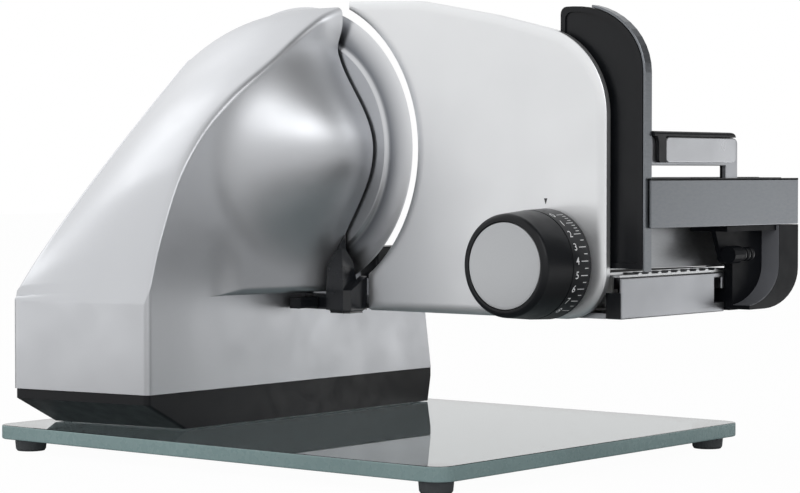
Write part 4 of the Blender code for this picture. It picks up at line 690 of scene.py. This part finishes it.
def quarter(steps):
    """The angles of a quarter turn in even steps, both ends included."""
    return [pi / 2 * step / steps for step in range(steps + 1)]


def arc_points(centre, radius, start, stop, steps):
    """Points of an arc in a profile, from one angle to another in degrees."""
    angles = [radians(start + (stop - start) * step / steps) for step in range(steps + 1)]
    return [(centre[0] + radius * cos(angle), centre[1] + radius * sin(angle)) for angle in angles]


def rounded(points, radii, steps):
    """Replaces each corner of an outline by an arc of its own radius."""
    outline = []
    for index, corner in enumerate(points):
        here = Vector(corner)
        before = (Vector(points[index - 1]) - here).normalized()
        after = (Vector(points[(index + 1) % len(points)]) - here).normalized()
        if radii[index] <= 0:
            outline.append(here)
            continue
        half = before.angle(after) / 2
        reach = radii[index] / sin(half)
        centre = here + (before + after).normalized() * reach
        tangent = reach * cos(half)
        start = here + before * tangent - centre
        turn = (here + after * tangent - centre).angle_signed(start)
        for step in range(steps + 1):
            outline.append(centre + Matrix.Rotation(turn * step / steps, 2) @ start)
    return outline


def join_rings(shape, sections, around=True):
    """Skins a row of equally long outlines, and returns their rings of points."""
    rings = [[shape.verts.new(point) for point in section] for section in sections]
    count = len(rings[0])
    for ring, after in zip(rings, rings[1:]):
        for index in range(count if around else count - 1):
            beside = (index + 1) % count
            shape.faces.new((ring[index], ring[beside], after[beside], after[index]))
    return rings


def box_shape(x_span, y_span, z_span):
    shape = bmesh.new()
    corners = [Vector((x, y, z)) for x in x_span for y in y_span for z in z_span]
    bmesh.ops.convex_hull(shape, input=[shape.verts.new(corner) for corner in corners])
    return shape


# Motor housing

def curve_through(points, place):
    """Height of a smooth curve through a few (place, height) points."""
    last = len(points) - 1
    index = 0
    while index < last - 1 and place > points[index + 1][0]:
        index += 1
    (x0, y0), (x1, y1) = points[index], points[index + 1]
    before = points[max(index - 1, 0)]
    after = points[min(index + 2, last)]
    slope_in = (y1 - before[1]) / (x1 - before[0])
    slope_out = (after[1] - y0) / (after[0] - x0)
    width = x1 - x0
    t = (place - x0) / width
    return (y0 * (1 + 2 * t) * (1 - t) ** 2 + slope_in * width * t * (1 - t) ** 2
            + y1 * t * t * (3 - 2 * t) + slope_out * width * t * t * (t - 1))


def within(share):
    return min(1, max(0, share))


def soft_step(share):
    share = within(share)
    return share * share * (3 - 2 * share)


def wall_out(x, z):
    """How far the housing's front stands out of its flat wall, with the flare above the dome."""
    share = max(0, (x - HOUSING_LEFT) / (CUT_X - HOUSING_LEFT))
    start = soft_step((share - LEDGE_START) / LEDGE_RAMP)
    held = start + (1 - start) * soft_step((z - CREASE_Z) / LEDGE_BLEND)
    along = within((x - HOUSING_END + FLARE_LENGTH) / FLARE_LENGTH)
    up = soft_step((z - BLADE_Z - FLARE_START) / FLARE_HEIGHT)
    return WALL_LEAN * share * share * held + FLARE * along * along * up


def dome_rise(x, z):
    """Height of the dome over the wall: a bell round the blade's axis that runs out softly."""
    up = z - BLADE_Z
    across = (x - HOUSING_END + DOME_CENTRE) / DOME_LENGTH
    upward = up / (DOME_TOP if up > 0 else DOME_FOOT)
    return DOME_HEIGHT * max(0, 1 - across ** 2 - upward ** 2) ** DOME_POWER


def front_place(x, z, wall):
    """Y of the front surface: the leaning wall with the dome on it."""
    return wall - wall_out(x, z) - dome_rise(x, z)


def ridge_height(x):
    share = within((x - HOUSING_LEFT) / (CUT_X - HOUSING_LEFT))
    return CREASE_Z + (PEAK_Z - CREASE_Z) * curve_through(RIDGE_SHAPE, share)


def evenly(points, steps):
    """The same line with points at equal distances along it."""
    reach = [0]
    for first, second in zip(points, points[1:]):
        reach.append(reach[-1] + sqrt((second[0] - first[0]) ** 2 + (second[1] - first[1]) ** 2))
    line, index = [], 0
    for step in range(steps + 1):
        goal = reach[-1] * step / steps
        while index < len(points) - 2 and reach[index + 1] < goal:
            index += 1
        share = (goal - reach[index]) / (reach[index + 1] - reach[index])
        line.append(tuple(a + (b - a) * share for a, b in zip(points[index], points[index + 1])))
    return line


def front_line(x, wall, crease, top):
    """Points (Y, Z) of the front: the low wall, the ledge's round and the face up to the ridge's round."""
    lip = front_place(x, crease, wall)
    low_round = min(LEDGE_ROUND, LEDGE_ROUND_SHARE * (wall - lip), (top - crease) / 4)
    low_round = max(low_round, LEAST_ROUND)
    start = crease + low_round
    heights = [start + (top - start) * step / FINE_STEPS for step in range(FINE_STEPS + 1)]
    face = [(front_place(x, height, wall), height) for height in heights]
    points = [(wall, SKIRT_TOP), (wall, crease)]
    for angle in quarter(ROUND_STEPS + 1)[:-1]:
        points.append((face[0][0] + low_round * (1 - sin(angle)), crease + low_round * (1 - cos(angle))))
    return points + evenly(face, FRONT_STEPS)


def top_line(brow, back_y, ridge, back, soft, share):
    """Points (Y, Z) of the ridge's round, the sloped top and the round of its back edge."""
    points = [(brow + soft * (1 - cos(angle)), ridge - soft + soft * sin(angle))
              for angle in quarter(ROUND_STEPS)[1:-1]]
    power = TOP_POWER_LEFT + (TOP_POWER_RIGHT - TOP_POWER_LEFT) * share
    for step in range(TOP_STEPS + 1):
        across = step / TOP_STEPS
        y = brow + soft + (back_y - brow - 2 * soft) * across
        points.append((y, ridge + (back - ridge) * across ** power))
    points += [(back_y - soft * (1 - sin(angle)), back - soft * (1 - cos(angle)))
               for angle in quarter(ROUND_STEPS)[1:]]
    return points


def housing_section(share, shift, shrink):
    """One upright outline across the housing, front bottom to front top to back bottom."""
    front_x = HOUSING_LEFT + (HOUSING_END - HOUSING_LEFT) * share + shift
    back_x = HOUSING_LEFT_BACK + (HOUSING_END - HOUSING_LEFT_BACK) * share + shift
    back_y = HOUSING_BACK_LEFT + (HOUSING_BACK_RIGHT - HOUSING_BACK_LEFT) * share - shrink
    wall = WALL_Y + shrink
    ridge = ridge_height(front_x) - shrink
    back = min(CREASE_Z + BACK_EDGE_RISE * max(share, 0) ** BACK_EDGE_POWER, ridge + shrink) - shrink
    crease = min(CREASE_Z - (shrink if share <= 0 else 0), ridge)
    soft = min(RIDGE_ROUND, (ridge - crease) / 3)
    points = front_line(front_x, wall, crease, ridge - soft)
    points += top_line(points[-1][0], back_y, ridge, back, soft, share)
    points.append((back_y, SKIRT_TOP))
    span = back_y - wall
    return [Vector((front_x + (back_x - front_x) * max(y - wall, 0) / span, y, z)) for y, z in points]


def housing_shell():
    """The swept shell with the dome grown into it, open at the bottom."""
    sections = [housing_section(0, CORNER_ROUND * (1 - cos(angle)), CORNER_ROUND * (1 - sin(angle)))
                for angle in quarter(ROUND_STEPS)[:-1]]
    first = CORNER_ROUND / (HOUSING_END - HOUSING_LEFT)
    for step in range(STATIONS + 1):
        share = first + (1 - first) * (step / STATIONS) ** STATION_POWER
        sections.append(housing_section(share, 0, 0))
    shape = bmesh.new()
    rings = join_rings(shape, sections, around=False)
    shape.faces.new(rings[0])
    close_end(shape, rings[-1])
    return shape


def close_end(shape, ring):
    """Fills the end at the blade, with a round opening for the blade's shaft."""
    angles = [WHOLE_TURN * index / HUB_FACETS for index in range(HUB_FACETS)]
    places = [(HOUSING_END, BLADE_Y + HUB_OPENING * cos(angle), BLADE_Z + HUB_OPENING * sin(angle))
              for angle in angles]
    hub = [shape.verts.new(corner) for corner in places]
    edges = []
    for loop in (ring, hub):
        for first, second in zip(loop, loop[1:] + loop[:1]):
            edges.append(shape.edges.get((first, second)) or shape.edges.new((first, second)))
    bmesh.ops.triangle_fill(shape, use_beauty=True, edges=edges)


def platform_shell(shape):
    """The low arm of the housing under the guide rail, with its right edges rounded."""
    outline = [(HOUSING_END, SKIRT_TOP), (PLATFORM_RIGHT, SKIRT_TOP),
               (PLATFORM_RIGHT - PLATFORM_SLANT, PLATFORM_TOP), (HOUSING_END, PLATFORM_TOP)]
    rings = join_rings(shape, [[Vector((x, y, z)) for x, z in outline]
                               for y in (WALL_Y, HOUSING_BACK_RIGHT)])
    shape.faces.new(rings[0][::-1])
    shape.faces.new(rings[1])
    ends = [shape.edges.get((ring[1], ring[2])) for ring in rings]
    bmesh.ops.bevel(shape, geom=ends, offset=CORNER_ROUND, segments=ROUND_STEPS, affect="EDGES")


def build_housing(finishes):
    shape = housing_shell()
    platform_shell(shape)
    set_piece("housing_shell", shape, finishes["housing_silver"], "root",
              ["motor_housing"], smooth=HOUSING_SMOOTH)


# Blade and stop plate

def build_blade(finishes):
    """The blade with its flat middle, a soft step and the hollow ground ring that runs out to the edge."""
    front = CUT_X - BLADE_DISH
    back = front - BLADE_THICK
    hollow = back + BLADE_STEP
    step_end = BLADE_STEP_RADIUS + BLADE_STEP_SOFT / 2
    profile = [(back, BLADE_BORE)]
    for part in range(BLADE_STEP_PARTS + 1):
        share = part / BLADE_STEP_PARTS
        profile.append((back + BLADE_STEP * soft_step(share), step_end + BLADE_STEP_SOFT * (share - 1)))
    for part in range(1, BLADE_GRIND_PARTS + 1):
        share = part / BLADE_GRIND_PARTS
        profile.append((hollow + (CUT_X - hollow) * share ** BLADE_GRIND_POWER,
                        step_end + (BLADE_RADIUS - BLADE_EDGE - step_end) * share))
    profile += [(CUT_X, BLADE_RADIUS), (CUT_X - BLADE_EDGE_BACK, BLADE_RADIUS - BLADE_BEVEL),
                (front, BLADE_STEP_RADIUS - BLADE_BEVEL), (front, BLADE_BORE)]
    shape = lathe(profile, (BLADE_Y, BLADE_Z), BLADE_FACETS)
    set_piece("blade_disc", shape, finishes["blade_steel"], "blade", ["round_blade"],
              smooth=BLADE_SMOOTH)


def plate_outline(shrink):
    """The stop plate seen from the side, from its top back corner round to its blade cut."""
    low, top = PLATE_BOTTOM + shrink, PLATE_TOP - shrink
    radius = BLADE_RADIUS + PLATE_BLADE_GAP + shrink
    tip = BLADE_Y - sqrt(radius ** 2 - (top - BLADE_Z) ** 2)
    front, back_top = PLATE_FRONT + shrink, min(PLATE_BACK_TOP - shrink, tip)
    back_bottom = PLATE_BACK_BOTTOM - shrink
    corners = [(back_top, top), (PLATE_CREST_Y, top - PLATE_CREST_DROP),
               (PLATE_SHOULDER[0], PLATE_SHOULDER[1] - shrink), (front, PLATE_FRONT_TOP - shrink),
               (front, low), (back_bottom, low)]
    radii = [0, PLATE_CREST_ROUND, PLATE_SHOULDER_ROUND, PLATE_TOP_ROUND - shrink,
             PLATE_FOOT_ROUND - shrink, max(PLATE_TIP_ROUND - shrink, PLATE_TIP_LEAST)]
    outline = rounded(corners, radii, PLATE_CORNER_STEPS)
    start = acos((BLADE_Y - back_bottom) / radius)
    stop = acos((BLADE_Y - back_top) / radius)
    for step in range(PLATE_CUT_STEPS + 1):
        angle = pi + start - (start + stop) * step / PLATE_CUT_STEPS
        outline.append((BLADE_Y + radius * cos(angle), BLADE_Z + radius * sin(angle)))
    return outline


def build_plate(finishes):
    """The plate with a rolled rim on its outer face, a small round on its food face, and the knob's boss."""
    levels = [(PLATE_OUTER + PLATE_ROLL_DEPTH * (1 - cos(angle)), PLATE_ROLL * (1 - sin(angle)))
              for angle in quarter(PLATE_ROLL_STEPS)]
    levels += [(PLATE_FACE - PLATE_FACE_ROUND * (1 - sin(angle)), PLATE_FACE_ROUND * (1 - cos(angle)))
               for angle in quarter(PLATE_FACE_STEPS)]
    shape = bmesh.new()
    rings = join_rings(shape, [[Vector((x, y, z)) for y, z in plate_outline(shrink)]
                               for x, shrink in levels])
    shape.faces.new(rings[0][::-1])
    shape.faces.new(rings[-1])
    tip, root = PLATE_OUTER - BOSS_LENGTH, PLATE_OUTER + PLATE_RIM
    boss = [(tip, 0), (tip, BOSS_RADIUS), (root, BOSS_RADIUS), (root, 0)]
    lathe(boss, (KNOB_Y, KNOB_Z), BOSS_FACETS, shape)
    set_piece("plate_panel", shape, finishes["plate_silver"], "plate", ["stop_plate"],
              smooth=PLATE_SMOOTH)


# Knob and roller

def build_knob(finishes):
    """The grip and dial in one turned piece, open towards the plate, and the cap that sits in its front."""
    base = PLATE_OUTER - FINE_GAP
    front = base - KNOB_LENGTH
    dial_end = base - DIAL_WIDTH
    grip_start = dial_end - GROOVE_WIDTH
    seat = front + CAP_THICK + FINE_GAP
    cup_floor = PLATE_OUTER - BOSS_LENGTH - FINE_GAP
    cup = GRIP_FRONT_RADIUS - KNOB_WALL
    sleeve = BOSS_RADIUS + FINE_GAP
    corner = (front + KNOB_ROUND, GRIP_FRONT_RADIUS - KNOB_ROUND)
    profile = [(seat, SCREW_HOLE), (seat, CAP_RADIUS + FINE_GAP), (front + FINE_GAP, CAP_RADIUS + FINE_GAP),
               (front, CAP_RADIUS + 2 * FINE_GAP)]
    profile += arc_points(corner, KNOB_ROUND, 180, KNOB_ROUND_STOP, KNOB_ROUND_STEPS)
    profile += [(grip_start - FINE_GAP, GRIP_RADIUS), (grip_start, GRIP_RADIUS - FINE_GAP),
                (grip_start, GRIP_RADIUS - GROOVE_DEPTH), (dial_end, GRIP_RADIUS - GROOVE_DEPTH),
                (dial_end, DIAL_RADIUS - DIAL_TAPER - FINE_GAP),
                (dial_end + FINE_GAP, DIAL_RADIUS - DIAL_TAPER), (base, DIAL_RADIUS), (base, cup),
                (cup_floor, cup), (cup_floor, SLEEVE_RADIUS), (cup_floor + SLEEVE_DEPTH, SLEEVE_RADIUS),
                (cup_floor + SLEEVE_DEPTH, sleeve), (cup_floor, sleeve), (cup_floor, SCREW_HOLE)]
    set_piece("knob_barrel", lathe(profile, (KNOB_Y, KNOB_Z), KNOB_FACETS), finishes["black_plastic"],
              "knob", ["knob_grip"], smooth=KNOB_SMOOTH)
    profile = [(seat - FINE_GAP, 0), (seat - FINE_GAP, CAP_RADIUS), (front + 3 * FINE_GAP, CAP_RADIUS),
               (front + FINE_GAP, CAP_RADIUS - 2 * FINE_GAP), (front + CAP_CROWN, CAP_CROWN_RADIUS),
               (front, CAP_FLAT_RADIUS), (front, 0)]
    set_piece("knob_disc", lathe(profile, (KNOB_Y, KNOB_Z), KNOB_FACETS), finishes["spun_cap"], "knob",
              ["knob_cap"], smooth=CAP_SMOOTH)


def build_roller(finishes):
    """The lock roller with its raised rings."""
    pitch = (ROLLER_RIGHT - ROLLER_LEFT) / ROLLER_RINGS
    valley = ROLLER_RADIUS - 2 * ROLLER_EDGE
    crest = ROLLER_RADIUS - ROLLER_EDGE
    profile = [(ROLLER_AXLE_LEFT, 0), (ROLLER_AXLE_LEFT, ROLLER_AXLE), (ROLLER_LEFT, ROLLER_AXLE)]
    for ring in range(ROLLER_RINGS):
        start = ROLLER_LEFT + pitch * ring
        rise, end = start + pitch * ROLLER_VALLEY, start + pitch
        profile += [(start, valley), (rise, valley)]
        profile += arc_points((rise + ROLLER_EDGE, crest), ROLLER_EDGE, 180, 90, ROLLER_EDGE_STEPS)
        profile += arc_points((end - ROLLER_EDGE, crest), ROLLER_EDGE, 90, 0, ROLLER_EDGE_STEPS)
    profile.append((ROLLER_RIGHT, 0))
    shape = lathe(profile, (ROLLER_Y, ROLLER_Z), ROLLER_FACETS)
    set_piece("ringed_roller", shape, finishes["black_plastic"], "lock", ["lock_roller"],
              smooth=ROLLER_SMOOTH)


# Small pieces of the carriage and the rail

def build_band_line(finishes):
    """The black top edge of the carriage's band."""
    shape = box_shape((BAND_LEFT, CARRIAGE_RIGHT - FINE_GAP),
                      (CARRIAGE_FRONT, CARRIAGE_FRONT + BAND_LINE_DEPTH),
                      (BAND_TOP - BAND_LINE, BAND_TOP + FINE_GAP))
    set_piece("band_line", shape, finishes["black_plastic"], "carriage")


def build_guard_liner(finishes):
    """The light inner wall of the hand guard: down its right side and round the corner."""
    right = CARRIAGE_RIGHT - GUARD_WIDTH
    centre = (right - GUARD_CURVE_X, GUARD_LOW + GUARD_CURVE_Z)
    angles = [radians(-GUARD_CURVE_ANGLE * step / GUARD_STEPS) for step in range(GUARD_STEPS + 1)]
    curve = [(centre[0] + GUARD_CURVE_X * cos(angle), centre[1] + GUARD_CURVE_Z * sin(angle))
             for angle in angles]
    path = [(right, GUARD_TOP)] + curve
    inner = [(right - LINER_THICK, GUARD_TOP)] + [(x - LINER_THICK, z + LINER_THICK) for x, z in curve]
    shape = bmesh.new()
    rings = join_rings(shape, [[Vector((x, y, z)) for x, z in path + inner[::-1]]
                               for y in (CARRIAGE_FRONT + FINE_GAP, CARRIAGE_FRONT + POCKET_DEPTH)])
    last = 2 * len(path) - 1
    for ring in rings:
        for index in range(len(path) - 1):
            shape.faces.new((ring[index], ring[index + 1], ring[last - 1 - index], ring[last - index]))
    set_piece("guard_liner", shape, finishes["guard_grey"], "carriage")


def build_cap_side(finishes):
    """A thin black sheet on the left side of the rail's front cap, which makes that side dark."""
    shape = box_shape([RAIL_CAP_LEFT - out for out in CAP_SIDE_OUT],
                      (RAIL_CAP_FRONT + 2 * FINE_GAP, RAIL_CAP_FRONT + RAIL_CAP_DEPTH), RAIL_CAP_SPAN)
    set_piece("cap_side", shape, finishes["black_plastic"], "root")


# Marks of the dial

def on_dial(angle, along, lift):
    """A point on the dial. The angle runs from the top towards the user, along from the plate outwards."""
    radius = DIAL_RADIUS - DIAL_TAPER * along / DIAL_WIDTH + lift
    return Vector((PLATE_OUTER - along, KNOB_Y - radius * sin(angle), KNOB_Z + radius * cos(angle)))


def number_shape(text):
    """The faces of a number as lists of points, with its middle at the origin."""
    curve = bpy.data.curves.new("number", "FONT")
    curve.body = text
    curve.size = NUMBER_SIZE
    curve.offset = NUMBER_BOLD
    curve.align_x = "CENTER"
    curve.align_y = "CENTER"
    holder = bpy.data.objects.new("number", curve)
    bpy.context.scene.collection.objects.link(holder)
    depsgraph = bpy.context.evaluated_depsgraph_get()
    mesh = holder.evaluated_get(depsgraph).to_mesh()
    faces = [[mesh.vertices[index].co.copy() for index in face.vertices] for face in mesh.polygons]
    bpy.data.objects.remove(holder)
    return faces


def dial_angle(number):
    return radians(NUMBER_FIRST_ANGLE + NUMBER_STEP_ANGLE * number)


def build_dial_numbers(finishes):
    """The numbers, a long tick at each and shorter ones between, closer together at the low numbers."""
    shape = bmesh.new()
    for number in range(NUMBER_COUNT):
        centre = dial_angle(number)
        for face in number_shape(str(number)):
            corners = [on_dial(centre - point.y / DIAL_RADIUS, NUMBER_PLACE - point.x, PRINT_LIFT)
                       for point in face]
            shape.faces.new([shape.verts.new(corner) for corner in corners])
    ticks = [(number, TICK_REACH) for number in range(NUMBER_COUNT)]
    for number in range(NUMBER_COUNT - 1):
        parts = FINE_TICKS if number < FINE_NUMBERS else PLAIN_TICKS
        ticks += [(number + part / parts, TICK_HALF_REACH) for part in range(1, parts)]
    half = TICK_WIDTH / DIAL_RADIUS / 2
    for place, reach in ticks:
        corners = [on_dial(dial_angle(place) + turn, TICK_START + along, PRINT_LIFT)
                   for turn, along in ((-half, 0), (half, 0), (half, reach), (-half, reach))]
        shape.faces.new([shape.verts.new(corner) for corner in corners])
    set_piece("dial_numbers", shape, finishes["number_ink"], "knob")


def build_pointer(finishes):
    """The small mark on the plate that the dial is read against."""
    x = PLATE_OUTER - PRINT_LIFT
    low = KNOB_Z + POINTER_RADIUS - POINTER_HEIGHT / 2
    shape = bmesh.new()
    corners = [(x, KNOB_Y, low), (x, KNOB_Y + POINTER_HALF, low + POINTER_HEIGHT),
               (x, KNOB_Y - POINTER_HALF, low + POINTER_HEIGHT)]
    shape.faces.new([shape.verts.new(corner) for corner in corners])
    set_piece("plate_pointer", shape, finishes["mark_ink"], "plate")


# Room, light and camera

def pale_floor():
    """Matt and pale under the lamps, white to the camera and through glass. In metal it shows painted shade:
    its colour is darker near the slicer and on one side.
    """
    finish = Finish("pale_floor")
    finish.colour(finish.blend(finish.noise(FLOOR_CLOUDS, detail=2), *FLOOR_TONES))
    finish.set(Roughness=0.9)
    painted_shade_floor = finish.add("ShaderNodeBsdfDiffuse")
    away = finish.vector("LENGTH", finish.place)
    reach = finish.figure("MULTIPLY_ADD", finish.along(finish.place, *FLOOR_SIDE), FLOOR_LEAN, away)
    # Painted shade: the floor's colour as metal sees it is darker near the slicer and towards one side
    finish.link(finish.shade(reach, FLOOR_TURN, FLOOR_LEVELS), painted_shade_floor.inputs["Color"])
    rays = finish.add("ShaderNodeLightPath")
    lit = finish.mixed(rays.outputs["Is Glossy Ray"], finish.shader, painted_shade_floor)
    white = finish.add("ShaderNodeEmission")
    white.inputs["Strength"].default_value = 1.0
    finish.show(finish.mixed(finish.figure("MULTIPLY", finish.seen_as_white(), FLOOR_WHITE), lit, white))
    return finish.material


def build_floor():
    shape = bmesh.new()
    half = FLOOR_HALF
    corners = [(-half, -half, 0), (half, -half, 0), (half, half, 0), (-half, half, 0)]
    shape.faces.new([shape.verts.new(corner) for corner in corners])
    mesh = bpy.data.meshes.new("studio_floor")
    shape.to_mesh(mesh)
    shape.free()
    mesh.materials.append(pale_floor())
    floor = bpy.data.objects.new("studio_floor", mesh)
    bpy.context.scene.collection.objects.link(floor)


class Room(Finish):
    """The world's nodes, with the same short words."""

    def __init__(self, name):
        self.material = bpy.data.worlds.new(name)
        self.begin("ShaderNodeOutputWorld", "Generated")


def build_world():
    """White to the camera and through glass. To the slicer it is a pale room with one shady side."""
    room = Room("studio")
    bpy.context.scene.world = room.material
    soft = room.add("ShaderNodeBackground")
    soft.inputs["Color"].default_value = WHITE
    sides = room.shade(room.along(room.place, *SHADY_SIDE), SHADY_TURN, ROOM_LEVELS)
    ceiling = room.shade(room.along(room.place, *CEILING_SIDE), CEILING_TURN, CEILING_LEVELS)
    room.link(room.figure("MULTIPLY", sides, ceiling), soft.inputs["Strength"])
    white = room.add("ShaderNodeBackground")
    white.inputs["Color"].default_value = WHITE
    room.show(room.mixed(room.seen_as_white(), soft, white))


def build_lights():
    """Softboxes that look at the slicer's middle. Brightness is what a mirror would show of them."""
    for name, (azimuth, elevation, distance, width, height, brightness) in LAMPS.items():
        around, up = radians(azimuth), radians(elevation)
        way = Vector((cos(around) * cos(up), sin(around) * cos(up), sin(up)))
        light = bpy.data.lights.new(name, "AREA")
        light.shape = "RECTANGLE"
        light.size = width
        light.size_y = height
        light.energy = brightness * pi * width * height
        lamp = bpy.data.objects.new(name, light)
        lamp.location = Vector((0, 0, AIM_HEIGHT)) + way * distance
        lamp.rotation_euler = (-way).to_track_quat("-Z", "Y").to_euler()
        bpy.context.scene.collection.objects.link(lamp)


def build_camera():
    lens = bpy.data.cameras.new("photo_camera")
    lens.sensor_width = SENSOR_WIDTH
    lens.lens = SENSOR_WIDTH * FOCAL_PIXELS / IMAGE_WIDTH
    camera = bpy.data.objects.new("photo_camera", lens)
    yaw, pitch = radians(CAMERA_YAW), radians(CAMERA_PITCH)
    look = Vector((cos(yaw) * cos(pitch), sin(yaw) * cos(pitch), sin(pitch)))
    camera.location = ORIGIN + Vector(CAMERA_PLACE)
    camera.rotation_euler = look.to_track_quat("-Z", "Y").to_euler()
    bpy.context.scene.collection.objects.link(camera)
    bpy.context.scene.camera = camera


def dress_nodes(frame, finishes):
    """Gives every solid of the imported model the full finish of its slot, and a few their own."""
    for name, node in frame["nodes"].items():
        for slot in node.material_slots:
            finish = OWN_FINISH.get(name, slot.material.name.split(".")[0])
            slot.material = finishes[finish]


def main():
    global ORIGIN
    for thing in list(bpy.data.objects):
        bpy.data.objects.remove(thing, do_unlink=True)
    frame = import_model()
    low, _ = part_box("glass_base")
    ORIGIN = Vector((low.x, low.y, 0))
    bpy.context.scene.view_settings.view_transform = "Standard"
    finishes = make_finishes()
    dress_nodes(frame, finishes)
    for build in (build_housing, build_blade, build_plate, build_knob, build_roller, build_band_line,
                  build_guard_liner, build_cap_side, build_dial_numbers, build_pointer):
        build(finishes)
    build_floor()
    build_world()
    build_lights()
    build_camera()


main()
